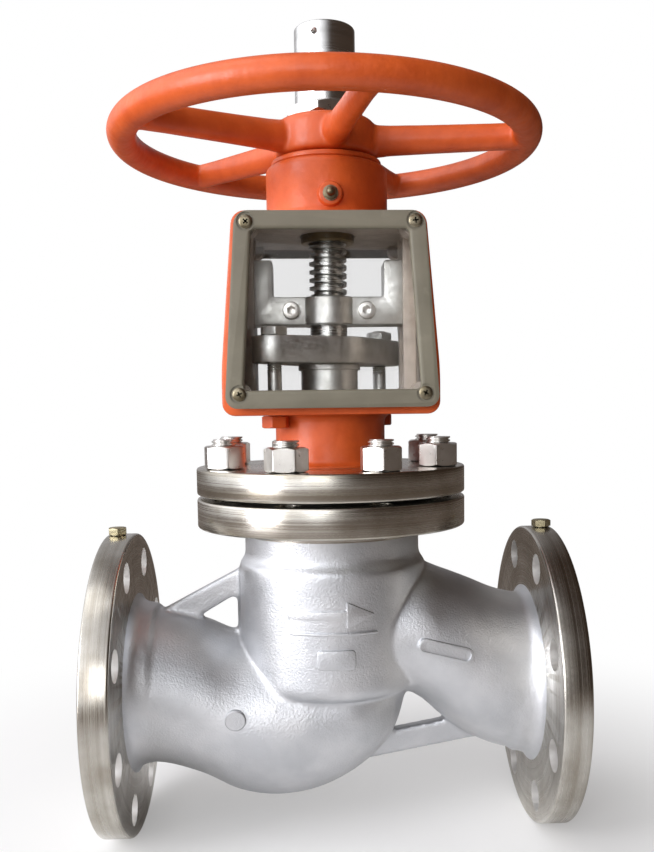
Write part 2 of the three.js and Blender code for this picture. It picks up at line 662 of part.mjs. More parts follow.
for (const { side, x, y } of glandBoltPlaces) {
  const headTop = YOKE_BOTTOM - FIT_GAP;
  const nutBottom = GLAND_FLANGE_TOP + FIT_GAP;
  const nutTop = nutBottom + GLAND_NUT_HEIGHT;
  const headBottom = headTop - GLAND_HEAD_HEIGHT;
  const head = hexSolid(GLAND_NUT_FLATS, headBottom, headTop, GLAND_HEAD_ANGLE, true);
  const shank = rodSolid(GLAND_BOLT_RADIUS, headTop - 1, nutTop + 1, HOLE_ROUND);
  addPart(`gland_bolt_${side}`, head.add(shank).translate([x, y, 0]), ...orangeEnamel);
  const nut = hexSolid(GLAND_NUT_FLATS, nutBottom, nutTop, GLAND_ANGLE, false)
    .subtract(rodSolid(GLAND_BOLT_RADIUS + FIT_GAP, nutBottom - 1, nutTop + 1, HOLE_ROUND));
  addPart(`gland_nut_${side}`, nut.translate([x, y, 0]), ...greySteel);
}

// ---------------------------------------------------------------- yoke windows

const FRAME_OUTLINE = [[-73.3, 210], [73.3, 210], [64.6, 344.7], [-64.6, 344.7]];
const FRAME_OPENING = [[-61.2, 222.6], [61.2, 222.6], [53.4, 332.5], [-53.4, 332.5]];
const PANE_OUTLINE = [[-71, 212.5], [71, 212.5], [62.5, 342.5], [-62.5, 342.5]];

['front', 'rear'].forEach((face, i) => {
  const side = i === 0 ? -1 : 1;
  const between = (a, b) => [side * a, side * b].sort((p, q) => p - q);
  const paneInner = YOKE_HALF_DEPTH + FIT_GAP;
  const frameInner = paneInner + PANE_THICKNESS + FIT_GAP;
  const frame = roundedShape(FRAME_OUTLINE, 9);
  frame.holes.push(roundedShape(FRAME_OPENING, 5));
  addPart(`${face}_window_pane`, slabSolid(
    roundedShape(PANE_OUTLINE, 7), ...between(paneInner, paneInner + PANE_THICKNESS),
  ), '#dfe6e4', 0.05, 0);
  addPart(`${face}_window_frame`, slabSolid(
    frame, ...between(frameInner, frameInner + FRAME_THICKNESS),
  ), ...olivePaint);
});

// ---------------------------------------------------------------- yoke bearing

function nippleSolid() {
  const profile = [[0, -9], [2.6, -9], [2.6, FIT_GAP], [4.6, FIT_GAP], [4.6, 3.2], [2.4, 4],
    ...arc(0, 6.6, 3.2, -40, 60, 3), [0, 9.6]];
  const { x, y, z } = NIPPLE_PLACE;
  return solidOf(turned(profile, HOLE_ROUND).rotateX(Math.PI / 2).translate(x, y - 3, z));
}

addPart('grease_nipple', nippleSolid(), ...greySteel);

addPart('bearing_cap', turnedSolid([
  [SLEEVE_RADIUS + 0.7, HOUSING_TOP - 2.8], [BEARING_BORE - 0.5, HOUSING_TOP - 2.8],
  [BEARING_BORE - 0.5, HOUSING_TOP + FIT_GAP], [CAP_RADIUS, HOUSING_TOP + FIT_GAP],
  [CAP_RADIUS, CAP_TOP - 2], [CAP_RADIUS - 2, CAP_TOP], [SLEEVE_RADIUS + 0.7, CAP_TOP],
]), ...orangeEnamel);

// a row of balls in its cage, drawn as one plain ring
function ballRowSolid(middle) {
  const row = new THREE.TorusGeometry(BALL_CIRCLE, BALL_RADIUS, 6, MEDIUM_ROUND);
  return solidOf(row.translate(0, 0, middle));
}

const ballLayer = 2 * BALL_RADIUS + 2 * FIT_GAP;
const lowerRace = BEARING_FLOOR + FIT_GAP;
const lowerBalls = lowerRace + RACE_HEIGHT;
const lowerShaftRace = lowerBalls + ballLayer;
const sleeveCollar = lowerShaftRace + RACE_HEIGHT + FIT_GAP;
const upperShaftRace = sleeveCollar + SLEEVE_COLLAR_HEIGHT + FIT_GAP;
const upperBalls = upperShaftRace + RACE_HEIGHT;
const upperRace = upperBalls + ballLayer;
[
  ['lower_bearing_housing_race', lowerRace, BEARING_INNER + 0.6, BEARING_OUTER],
  ['lower_bearing_shaft_race', lowerShaftRace, BEARING_INNER, BEARING_OUTER - 0.6],
  ['upper_bearing_shaft_race', upperShaftRace, BEARING_INNER, BEARING_OUTER - 0.6],
  ['upper_bearing_housing_race', upperRace, BEARING_INNER + 0.6, BEARING_OUTER],
].forEach(([name, level, inner, outer]) => {
  addPart(name, ringSolid(inner, outer, level, level + RACE_HEIGHT), ...turnedSteel);
});
addPart('lower_bearing_balls', ballRowSolid(lowerBalls + ballLayer / 2), ...turnedSteel);
addPart('upper_bearing_balls', ballRowSolid(upperBalls + ballLayer / 2), ...turnedSteel);

// ---------------------------------------------------------------- handwheel group

const keyLow = [SLEEVE_RADIUS - KEY_DEPTH / 2, -KEY_WIDTH / 2, HUB_BOTTOM + 2];
const keyHigh = [SLEEVE_RADIUS + KEY_DEPTH / 2, KEY_WIDTH / 2, HUB_TOP - 2];
const keyway = boxSolid(keyLow.map((v) => v - FIT_GAP), keyHigh.map((v) => v + FIT_GAP));

addPart('stem_nut', cutBy(turnedSolid([
  [SLEEVE_BORE, SLEEVE_BOTTOM], [SLEEVE_RADIUS - 1, SLEEVE_BOTTOM], [SLEEVE_RADIUS, SLEEVE_BOTTOM + 1],
  [SLEEVE_RADIUS, sleeveCollar], [SLEEVE_COLLAR_RADIUS, sleeveCollar],
  [SLEEVE_COLLAR_RADIUS, sleeveCollar + SLEEVE_COLLAR_HEIGHT],
  [SLEEVE_RADIUS, sleeveCollar + SLEEVE_COLLAR_HEIGHT], [SLEEVE_RADIUS, SLEEVE_TOP],
  [SLEEVE_BORE, SLEEVE_TOP],
]), [keyway]), '#b08d4a', 0.4, 1);

addPart('handwheel_key', boxSolid(keyLow, keyHigh), ...greySteel);

function spokeSolid(angle) {
  const stations = [
    { x: 22, top: 11, bottom: -11, halfWidth: 9 },
    { x: 60, top: 10.5, bottom: -10.5, halfWidth: 7.5 },
    { x: 110, top: 9.5, bottom: -9.5, halfWidth: 6.5 },
    { x: WHEEL_RADIUS, top: 9, bottom: -9, halfWidth: 7 },
  ];
  return passageSolid(stations, 3, 8)
    .rotate([0, 0, THREE.MathUtils.radToDeg(angle)])
    .translate([0, 0, WHEEL_HEIGHT]);
}

function handwheelSolid() {
  const rim = new THREE.TorusGeometry(WHEEL_RADIUS, WHEEL_RIM_RADIUS, 8, LARGE_ROUND);
  const hub = turnedSolid([
    [0, HUB_BOTTOM], [HUB_RADIUS - 2, HUB_BOTTOM], [HUB_RADIUS, HUB_BOTTOM + 2],
    [HUB_RADIUS, HUB_TOP - 6], [HUB_RADIUS - 5, HUB_TOP], [0, HUB_TOP],
  ]);
  const spokes = Array.from({ length: WHEEL_SPOKE_COUNT }, (_, i) => (
    spokeSolid(WHEEL_FIRST_SPOKE + (2 * Math.PI * i) / WHEEL_SPOKE_COUNT)));
  const whole = joined([solidOf(rim.translate(0, 0, WHEEL_HEIGHT)), hub, ...spokes]);
  return cutBy(whole, [rodSolid(SLEEVE_RADIUS + FIT_GAP, HUB_BOTTOM - 1, HUB_TOP + 1), keyway]);
}

addPart('handwheel', handwheelSolid(), ...orangeEnamel);

const lockNutBottom = HUB_TOP + FIT_GAP;
const lockNutTop = lockNutBottom + LOCK_NUT_HEIGHT;
addPart('handwheel_lock_nut', hexSolid(
  LOCK_NUT_FLATS, lockNutBottom, lockNutTop, LOCK_NUT_ANGLE, false,
).subtract(rodSolid(SLEEVE_RADIUS + FIT_GAP, lockNutBottom - 1, lockNutTop + 1)), ...turnedSteel);

const tubeBottom = lockNutTop + FIT_GAP;
addPart('stem_cover_tube', turnedSolid([
  [0, TUBE_TOP - 3], [SLEEVE_RADIUS + FIT_GAP, TUBE_TOP - 3], [SLEEVE_RADIUS + FIT_GAP, tubeBottom],
  [TUBE_RADIUS, tubeBottom], [TUBE_RADIUS, TUBE_TOP - 1], [TUBE_RADIUS - 1, TUBE_TOP], [0, TUBE_TOP],
]), ...turnedSteel);

// ---------------------------------------------------------------- stem group

const stemCollarTop = BACKSEAT_HEIGHT - LIFT - 0.5;
addPart('stem', turnedSolid([
  [0, STEM_BUTTON_BOTTOM], [STEM_BUTTON_RADIUS, STEM_BUTTON_BOTTOM],
  [STEM_BUTTON_RADIUS, STEM_BUTTON_TOP], [STEM_RADIUS, STEM_BUTTON_TOP],
  [STEM_RADIUS, stemCollarTop - 16], [STEM_COLLAR_RADIUS, stemCollarTop - 13],
  [STEM_COLLAR_RADIUS, stemCollarTop - 4], [STEM_RADIUS, stemCollarTop],
  [STEM_RADIUS, STEM_TOP - 2], [STEM_RADIUS - 2, STEM_TOP], [0, STEM_TOP],
]), ...turnedSteel);

const guideMiddle = (GUIDE_BOTTOM + GUIDE_TOP) / 2;

// one half of the U-shaped plate that is clamped round the stem
function guideHalf(side) {
  const inner = GUIDE_HALF_WIDTH - GUIDE_EAR_WIDTH;
  const shape = roundedShape([
    [-GUIDE_HALF_WIDTH, GUIDE_BOTTOM], [GUIDE_HALF_WIDTH, GUIDE_BOTTOM],
    [GUIDE_HALF_WIDTH, GUIDE_EAR_TOP], [inner, GUIDE_EAR_TOP], [inner, GUIDE_TOP],
    [-inner, GUIDE_TOP], [-inner, GUIDE_EAR_TOP], [-GUIDE_HALF_WIDTH, GUIDE_EAR_TOP],
  ], 2.5);
  const [near, far] = [side * 0.4, side * GUIDE_HALF_THICKNESS].sort((a, b) => a - b);
  return cutBy(slabSolid(shape, near, far), [
    rodSolid(STEM_RADIUS + FIT_GAP, GUIDE_BOTTOM - 1, GUIDE_EAR_TOP),
    ...[-1, 1].map((end) => rodAlong('y', [end * GUIDE_BOLT_OFFSET, 0, guideMiddle],
      GUIDE_BOLT_RADIUS + 0.4, -20, 20)),
  ]);
}

const guideHub = ringSolid(STEM_RADIUS + FIT_GAP, STEM_RADIUS + 8, GUIDE_BOTTOM, GUIDE_TOP);
[['front', -1], ['rear', 1]].forEach(([face, side]) => {
  const [near, far] = [side * 0.4, side * 30].sort((a, b) => a - b);
  const halfHub = guideHub.intersect(boxSolid([-40, near, GUIDE_BOTTOM - 1], [40, far, GUIDE_TOP + 1]));
  const clampRing = cutBy(halfHub, [-1, 1].map((end) => (
    rodAlong('y', [end * GUIDE_BOLT_OFFSET, 0, guideMiddle], GUIDE_BOLT_HEAD_RADIUS + 0.6, -40, 40))));
  addPart(`guide_plate_${face}`, guideHalf(side).add(clampRing), ...greySteel);
});

[['left', -1], ['right', 1]].forEach(([end, side]) => {
  const place = [side * GUIDE_BOLT_OFFSET, 0, guideMiddle];
  const faceY = GUIDE_HALF_THICKNESS + FIT_GAP;
  const nutEnd = faceY + 6;
  const headFrom = -faceY - GUIDE_BOLT_HEAD_HEIGHT;
  const head = rodAlong('y', place, GUIDE_BOLT_HEAD_RADIUS, headFrom, -faceY, SMALL_ROUND);
  addPart(`guide_bolt_${end}`, head.add(
    rodAlong('y', place, GUIDE_BOLT_RADIUS, -faceY - 1, nutEnd + 1.5),
  ), ...turnedSteel);
  const nut = hexSolid(13, faceY, nutEnd, 0, false)
    .subtract(rodSolid(GUIDE_BOLT_RADIUS + FIT_GAP, faceY - 1, nutEnd + 1, HOLE_ROUND))
    .rotate([-90, 0, 0])
    .translate(place);
  addPart(`guide_nut_${end}`, nut, ...turnedSteel);
});

// ---------------------------------------------------------------- disc group

addPart('disc', turnedSolid([
  [0, DISC_BOTTOM], [DISC_RADIUS - 3, DISC_BOTTOM], [DISC_RADIUS, DISC_BOTTOM + 3],
  [DISC_RADIUS, DISC_BOTTOM + 12], [DISC_RADIUS - 4, DISC_BOTTOM + 16], [34, DISC_BOTTOM + 22],
  [30, DISC_BOTTOM + 28], [30, DISC_HUB_TOP], [DISC_HUB_BORE, DISC_HUB_TOP],
  [DISC_HUB_BORE, STEM_BUTTON_BOTTOM - FIT_GAP], [0, STEM_BUTTON_BOTTOM - FIT_GAP],
]), ...turnedSteel);

addPart('disc_nut', turnedSolid([
  [STEM_RADIUS + 0.4, STEM_BUTTON_TOP + 0.4], [DISC_HUB_BORE - FIT_GAP, STEM_BUTTON_TOP + 0.4],
  [DISC_HUB_BORE - FIT_GAP, DISC_HUB_TOP + FIT_GAP], [27, DISC_HUB_TOP + FIT_GAP],
  [27, DISC_HUB_TOP + 6], [STEM_RADIUS + 0.4, DISC_HUB_TOP + 6],
]), ...turnedSteel);

export default valve;
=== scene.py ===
# Globe valve with an orange windowed yoke and handwheel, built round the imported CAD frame.
# Lengths in the dictionaries are millimetres; mm turns them to Blender's metres.
import json
from math import acos, cos, pi, radians, sin, sqrt, tan

import bpy
from mathutils import Matrix, Vector


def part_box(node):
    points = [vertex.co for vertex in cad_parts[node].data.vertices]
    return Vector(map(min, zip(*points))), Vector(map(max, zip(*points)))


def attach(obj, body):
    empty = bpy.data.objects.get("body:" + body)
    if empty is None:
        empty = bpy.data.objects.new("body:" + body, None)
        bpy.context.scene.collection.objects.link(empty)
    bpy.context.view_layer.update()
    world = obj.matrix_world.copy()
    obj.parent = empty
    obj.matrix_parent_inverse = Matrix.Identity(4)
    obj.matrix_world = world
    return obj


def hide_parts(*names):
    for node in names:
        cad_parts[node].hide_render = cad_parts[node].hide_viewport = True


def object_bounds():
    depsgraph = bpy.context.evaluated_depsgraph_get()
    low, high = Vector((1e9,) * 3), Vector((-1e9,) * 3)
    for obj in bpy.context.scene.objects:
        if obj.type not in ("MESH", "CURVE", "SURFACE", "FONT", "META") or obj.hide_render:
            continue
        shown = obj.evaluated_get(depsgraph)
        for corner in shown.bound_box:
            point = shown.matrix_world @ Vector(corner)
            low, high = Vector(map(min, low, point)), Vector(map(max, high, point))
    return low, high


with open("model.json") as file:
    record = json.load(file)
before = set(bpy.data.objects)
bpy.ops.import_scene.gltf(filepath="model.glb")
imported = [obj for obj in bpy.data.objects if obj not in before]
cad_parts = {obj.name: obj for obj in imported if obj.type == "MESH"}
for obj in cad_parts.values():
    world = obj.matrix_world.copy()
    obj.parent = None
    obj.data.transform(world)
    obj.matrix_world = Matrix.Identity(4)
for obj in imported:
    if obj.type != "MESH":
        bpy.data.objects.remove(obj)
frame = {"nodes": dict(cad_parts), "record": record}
cadLow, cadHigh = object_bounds()
mm = 0.001
print("frame loaded")


def span(node, axis):
    # lowest and highest place of a CAD node along x, y or z, in mm
    low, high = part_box(node)
    i = "xyz".index(axis)
    return low[i] / mm, high[i] / mm


def middle(node, axis):
    return sum(span(node, axis)) / 2


# camera

view = {
    "place": (-0.01854, -0.71033, 0.20968),
    "yaw": 2.99, "pitch": -5.11, "roll": -0.74,   # degrees
    "lens": 38.96, "sensor": 36.0,
    "shiftX": -0.0331, "shiftY": 0.0756,
}


def addCamera():
    yaw, pitch, roll = (radians(view[k]) for k in ("yaw", "pitch", "roll"))
    ahead = Vector((sin(yaw) * cos(pitch), cos(yaw) * cos(pitch), sin(pitch)))
    right = Vector((cos(yaw), -sin(yaw), 0))
    up = right.cross(ahead)
    right, up = right * cos(roll) + up * sin(roll), up * cos(roll) - right * sin(roll)
    bpy.ops.object.camera_add(location=view["place"])
    camera = bpy.context.object
    camera.rotation_euler = Matrix((right, up, -ahead)).transposed().to_euler()
    camera.data.lens = view["lens"]
    camera.data.sensor_width = view["sensor"]
    camera.data.shift_x = view["shiftX"]
    camera.data.shift_y = view["shiftY"]
    bpy.context.scene.camera = camera


addCamera()

# modelling helpers


def deselectAll():
    if bpy.context.object and bpy.context.object.mode != "OBJECT":
        bpy.ops.object.mode_set(mode="OBJECT")
    bpy.ops.object.select_all(action="DESELECT")


def makeActive(piece):
    deselectAll()
    piece.select_set(True)
    bpy.context.view_layer.objects.active = piece


def editAll(piece):
    makeActive(piece)
    bpy.ops.object.mode_set(mode="EDIT")
    bpy.ops.mesh.select_mode(type="VERT")
    bpy.ops.mesh.select_all(action="SELECT")


def leaveEdit(piece, name=None):
    bpy.ops.object.mode_set(mode="OBJECT")
    if name:
        piece.name = piece.data.name = name
    return piece


def placed(piece, at=(0, 0, 0), turn=(0, 0, 0)):
    # moves and turns a piece (mm, degrees) and puts its place into its mesh
    makeActive(piece)
    piece.rotation_euler = [radians(a) for a in turn]
    piece.location = Vector(at) * mm
    bpy.ops.object.transform_apply(location=True, rotation=True, scale=True)
    return piece


def copyOf(piece, name, at=(0, 0, 0), turn=(0, 0, 0)):
    twin = piece.copy()
    twin.data = piece.data.copy()
    twin.name = twin.data.name = name
    bpy.context.scene.collection.objects.link(twin)
    return placed(twin, at, turn)


def useModifier(piece, kind, **settings):
    makeActive(piece)
    step = piece.modifiers.new(kind.lower(), kind)
    for key, value in settings.items():
        setattr(step, key, value)
    bpy.ops.object.modifier_apply(modifier=step.name)
    return piece


def joined(name, *pieces):
    makeActive(pieces[0])
    for piece in pieces[1:]:
        piece.select_set(True)
    bpy.ops.object.join()
    return leaveEdit(pieces[0], name)


def combine(piece, how, *others):
    # boolean with each other piece, which is used up
    for other in others:
        useModifier(piece, "BOOLEAN", operation=how, solver="MANIFOLD", object=other)
        bpy.data.objects.remove(other)
    return piece


def cutBy(piece, *cutters):
    return combine(piece, "DIFFERENCE", *cutters)


def combineMaterials(piece, how, other):
    # boolean that brings the other piece's own material with it
    useModifier(piece, "BOOLEAN", operation=how, solver="MANIFOLD", object=other,
                material_mode="TRANSFER")
    bpy.data.objects.remove(other)


def softened(piece, width, segments=2, angle=35):
    # rounds the edges that are sharper than the angle
    return useModifier(piece, "BEVEL", width=width * mm, segments=segments,
                       limit_method="ANGLE", angle_limit=radians(angle),
                       use_clamp_overlap=True, harden_normals=False)


def bevelWhere(piece, width, segments, wanted):
    # rounds only the edges whose two ends are both at a wanted place
    editAll(piece)
    bpy.ops.mesh.select_all(action="DESELECT")
    bpy.ops.mesh.select_mode(type="EDGE")
    bpy.ops.object.mode_set(mode="OBJECT")
    for edge in piece.data.edges:
        edge.select = all(wanted(piece.data.vertices[i].co) for i in edge.vertices)
    bpy.ops.object.mode_set(mode="EDIT")
    bpy.ops.mesh.bevel(offset=width * mm, segments=segments)
    return leaveEdit(piece)


def closeEnds(hollow=False):
    bpy.ops.mesh.select_all(action="DESELECT")
    bpy.ops.mesh.select_non_manifold()
    if hollow:
        bpy.ops.mesh.bridge_edge_loops()
    else:
        bpy.ops.mesh.fill_holes(sides=0)
    bpy.ops.mesh.select_all(action="SELECT")
    bpy.ops.mesh.normals_make_consistent(inside=False)


def turnedPiece(name, rings, sides=72, hollow=False):
    # a circle pulled up and scaled from ring to ring; rings are (radius, height)
    deselectAll()
    radius, height = rings[0]
    bpy.ops.mesh.primitive_circle_add(vertices=sides, radius=radius * mm,
                                      location=(0, 0, height * mm))
    piece = placed(bpy.context.object, (0, 0, height))
    editAll(piece)
    for nextRadius, nextHeight in rings[1:]:
        bpy.ops.mesh.extrude_region_move(
            TRANSFORM_OT_translate={"value": (0, 0, (nextHeight - height) * mm)})
        factor = nextRadius / radius
        bpy.ops.transform.resize(value=(factor, factor, 1), center_override=(0, 0, 0))
        radius, height = nextRadius, nextHeight
    closeEnds(hollow)
    return leaveEdit(piece, name)


def rod(name, radius, low, high, sides=48, lip=0.0):
    # plain round bar or drill; lip flares both ends outwards, to break a hole's edge
    rings = [(radius, low), (radius, high)]
    if lip:
        rings = [(radius + lip, low[0]), (radius + lip, low[1] - lip), (radius, low[1]),
                 (radius, high[0]), (radius + lip, high[0] + lip), (radius + lip, high[1])]
    return turnedPiece(name, rings, sides)


def arc(centreRadius, centreHeight, size, start, end, steps=5):
    # rings of a rounded corner, angles in degrees
    angles = [radians(start + (end - start) * i / steps) for i in range(steps + 1)]
    return [(centreRadius + size * cos(a), centreHeight + size * sin(a)) for a in angles]


def oblong(left, right, low, high):
    return [(left, low), (right, low), (right, high), (left, high)]


def slab(name, outline, near, far, corner=0.0, edge=0.0, flat=False, cornerSteps=6):
    # an outline of (x, z) corners given thickness along Y, or of (x, y) along Z when flat
    deselectAll()
    bpy.ops.mesh.primitive_plane_add(size=mm)
    piece = bpy.context.object
    editAll(piece)
    bpy.ops.mesh.merge(type="CENTER")
    last = Vector((0, 0))
    for i, spot in enumerate(outline):
        step = (Vector(spot) - last) * mm
        value = (step.x, step.y, 0) if flat else (step.x, 0, step.y)
        if i == 0:
            bpy.ops.transform.translate(value=value)
        else:
            bpy.ops.mesh.extrude_region_move(TRANSFORM_OT_translate={"value": value})
        last = Vector(spot)
    bpy.ops.mesh.select_all(action="SELECT")
    bpy.ops.mesh.edge_face_add()
    if corner:
        bpy.ops.mesh.bevel(offset=corner * mm, segments=cornerSteps, affect="VERTICES")
        bpy.ops.mesh.select_all(action="SELECT")
    start = (0, 0, near * mm) if flat else (0, near * mm, 0)
    along = (0, 0, (far - near) * mm) if flat else (0, (far - near) * mm, 0)
    bpy.ops.transform.translate(value=start)
    bpy.ops.mesh.extrude_region_move(TRANSFORM_OT_translate={"value": along})
    bpy.ops.mesh.select_all(action="SELECT")
    bpy.ops.mesh.normals_make_consistent(inside=False)
    leaveEdit(piece, name)
    return softened(piece, edge) if edge else piece


def smoothStations(rows, perGap=4):
    # more sections between the given ones, on a curve through them
    result = []
    for i in range(len(rows) - 1):
        a, b = rows[max(i - 1, 0)], rows[i]
        c, d = rows[i + 1], rows[min(i + 2, len(rows) - 1)]
        for k in range(perGap):
            t = k / perGap
            result.append([0.5 * (2 * q + (r - p) * t + (2 * p - 5 * q + 4 * r - s) * t * t
                                  + (3 * q - p - 3 * r + s) * t ** 3)
                           for p, q, r, s in zip(a, b, c, d)])
    return result + [list(rows[-1])]


def ovalPiece(name, rows, sides):
    # a circle drawn out along X through oval sections; rows are (x, top, bottom, half width)
    x, top, low, half = rows[0]
    deselectAll()
    bpy.ops.mesh.primitive_circle_add(vertices=sides, radius=mm)
    piece = placed(bpy.context.object, (0, 0, 0), (0, 90, 0))
    editAll(piece)
    bpy.ops.transform.resize(value=(1, half, (top - low) / 2), center_override=(0, 0, 0))
    bpy.ops.transform.translate(value=(x * mm, 0, (top + low) / 2 * mm))
    for nextX, nextTop, nextLow, nextHalf in rows[1:]:
        rise = (nextTop + nextLow - top - low) / 2
        bpy.ops.mesh.extrude_region_move(
            TRANSFORM_OT_translate={"value": ((nextX - x) * mm, 0, rise * mm)})
        bpy.ops.transform.resize(
            value=(1, nextHalf / half, (nextTop - nextLow) / (top - low)),
            center_override=(nextX * mm, 0, (nextTop + nextLow) / 2 * mm))
        x, top, low, half = nextX, nextTop, nextLow, nextHalf
    closeEnds()
    return leaveEdit(piece, name)


def branchPiece(name, rows):
    return ovalPiece(name, smoothStations(rows), 56)


def hexPiece(name, flats, height, bore=0.0, bothEnds=False, washer=0.0):
    # six-sided bar with rounded uprights, its corners turned off by a cone, standing on z = 0
    corner = flats / sqrt(3)
    deselectAll()
    bpy.ops.mesh.primitive_cylinder_add(vertices=6, radius=corner * mm, depth=height * mm,
                                        location=(0, 0, height / 2 * mm))
    piece = placed(bpy.context.object, (0, 0, height / 2))
    softened(piece, 0.022 * flats, 2, 50)
    face = 0.475 * flats
    drop = (corner + 1 - face) * tan(radians(28))
    low = [(face, 0), (corner + 1, drop)] if bothEnds else [(corner + 1, 0)]
    blank = turnedPiece("blank", low + [(corner + 1, height - drop), (face, height)], 72)
    combine(piece, "INTERSECT", blank)
    if washer:
        combine(piece, "UNION", turnedPiece("seatFace", [
            (face - 0.3, -washer), (face, -washer + 0.2), (face, 0.4), (face - 2, 0.6)], 72))
    if bore:
        cutBy(piece, rod("drill", bore, (-1, 0.1 - washer), (height - 0.1, height + 1), 40, 0.5))
    piece.name = piece.data.name = name
    return piece


def threadedRod(name, crest, root, pitch, low, high, sides=36, hand=1, sharp=False):
    # one tooth drawn as a line, wound round Z and cut off square at both ends
    tooth = [(root, 0), (crest, 0.5), (root, 1)] if sharp else [
        (root, 0), (root, 0.28), (crest, 0.44), (crest, 0.84), (root, 1)]
    deselectAll()
    bpy.ops.mesh.primitive_plane_add(size=mm)
    piece = bpy.context.object
    editAll(piece)
    bpy.ops.mesh.merge(type="CENTER")
    bpy.ops.transform.translate(value=(root * mm, 0, (low - pitch) * mm))
    for (r0, z0), (r1, z1) in zip(tooth, tooth[1:]):
        bpy.ops.mesh.extrude_region_move(
            TRANSFORM_OT_translate={"value": ((r1 - r0) * mm, 0, (z1 - z0) * pitch * mm)})
    leaveEdit(piece, name)
    turns = int((high - low) / pitch) + 3
    useModifier(piece, "SCREW", axis="Z", angle=2 * pi * hand, screw_offset=pitch * mm,
                iterations=turns, steps=sides, render_steps=sides,
                use_merge_vertices=True, merge_threshold=1e-6)
    editAll(piece)
    bpy.ops.mesh.remove_doubles(threshold=2e-6)
    for height, side in ((low, "clear_inner"), (high, "clear_outer")):
        bpy.ops.mesh.select_all(action="SELECT")
        bpy.ops.mesh.bisect(plane_co=(0, 0, height * mm), plane_no=(0, 0, 1),
                            use_fill=True, **{side: True})
    bpy.ops.mesh.select_all(action="SELECT")
    bpy.ops.mesh.normals_make_consistent(inside=False)
    return leaveEdit(piece)


def fused(piece, voxel, rounds, factor=0.5):
    # melts overlapping solids into one skin, then relaxes it so that the joints get fillets
    useModifier(piece, "REMESH", mode="VOXEL", voxel_size=voxel * mm, adaptivity=0)
    return useModifier(piece, "SMOOTH", factor=factor, iterations=rounds)


# materials


def linear(hexColour):
    values = [int(hexColour[i:i + 2], 16) / 255 for i in (1, 3, 5)]
    return [v / 12.92 if v <= 0.04045 else ((v + 0.055) / 1.055) ** 2.4 for v in values] + [1]


def addNode(tree, kind, inputs=None, **settings):
    # one node with its settings; an input is a value or the socket that feeds it
    node = tree.nodes.new(kind)
    for key, value in settings.items():
        setattr(node, key, value)
    for key, value in (inputs or {}).items():
        if isinstance(value, bpy.types.NodeSocket):
            tree.links.new(value, node.inputs[key])
        else:
            node.inputs[key].default_value = value
    return node


def startMaterial(name, **shaderValues):
    material = bpy.data.materials.new(name)
    material.use_nodes = True
    tree = material.node_tree
    tree.nodes.clear()
    shader = addNode(tree, "ShaderNodeBsdfPrincipled", shaderValues)
    addNode(tree, "ShaderNodeOutputMaterial", {"Surface": shader.outputs[0]})
    place = addNode(tree, "ShaderNodeTexCoord").outputs["Object"]
    return material, tree, shader, place


def noiseAt(tree, place, size, detail=2.0, roughness=0.5):
    # soft noise whose lumps are about size mm across
    return addNode(tree, "ShaderNodeTexNoise", {
        "Vector": place, "Scale": 1 / (size * mm), "Detail": detail, "Roughness": roughness,
    }).outputs["Fac"]


def blended(tree, factor, first, second):
    ramp = addNode(tree, "ShaderNodeMix", data_type="RGBA")
    tree.links.new(factor, ramp.inputs[0])
    ramp.inputs[6].default_value, ramp.inputs[7].default_value = linear(first), linear(second)
    return ramp.outputs[2]


def mapped(tree, value, low, high, toLow, toHigh):
    return addNode(tree, "ShaderNodeMapRange", {
        "Value": value, "From Min": low, "From Max": high, "To Min": toLow, "To Max": toHigh,
    }).outputs[0]


def bumped(tree, height, depth, strength=1.0, after=None):
    inputs = {"Height": height, "Distance": depth * mm, "Strength": strength}
    if after:
        inputs["Normal"] = after
    return addNode(tree, "ShaderNodeBump", inputs).outputs[0]


def turnedPlace(tree, place, axis):
    # distance from the axis and place along it, so that a pattern runs in rings as lathe marks do
    xyz = addNode(tree, "ShaderNodeSeparateXYZ", {"Vector": place}).outputs
    along = "XYZ".index(axis)
    across = [xyz[i] for i in range(3) if i != along]
    flat = addNode(tree, "ShaderNodeCombineXYZ", {"X": across[0], "Y": across[1]}).outputs[0]
    reach = addNode(tree, "ShaderNodeVectorMath", {0: flat}, operation="LENGTH").outputs["Value"]
    return addNode(tree, "ShaderNodeCombineXYZ", {"X": reach, "Y": xyz[along]}).outputs[0]


def wearMask(tree, place, size, low, high):
    return mapped(tree, noiseAt(tree, place, size, 4, 0.6), low, high, 0, 1)


def castStainless():
    # stainless steel casting, pickled and bead blasted: an even silver satin with fine grain,
    # broad soft shade changes and a few smoother rubbed places
    look = {"light": "#dbdcde", "dark": "#c9cbce", "grain": 1.5, "wave": 18.0}
    material, tree, shader, place = startMaterial(
        "Cast_stainless_blasted", Metallic=1.0, Roughness=0.4)
    cloud = noiseAt(tree, place, 38, 3)
    grain = noiseAt(tree, place, look["grain"], 3, 0.6)   # grit is 0.3 mm, drawn coarser to show
    wave = noiseAt(tree, place, look["wave"], 2)
    tint = mapped(tree, cloud, 0.35, 0.65, 0, 1)
    tree.links.new(blended(tree, tint, look["dark"], look["light"]), shader.inputs["Base Color"])
    rubbed = wearMask(tree, place, 22, 0.55, 0.75)
    tree.links.new(mapped(tree, rubbed, 0, 1, 0.46, 0.37), shader.inputs["Roughness"])
    waved = bumped(tree, wave, 0.6, 0.35)
    tree.links.new(bumped(tree, grain, 0.4, 0.9, waved), shader.inputs["Normal"])
    return material


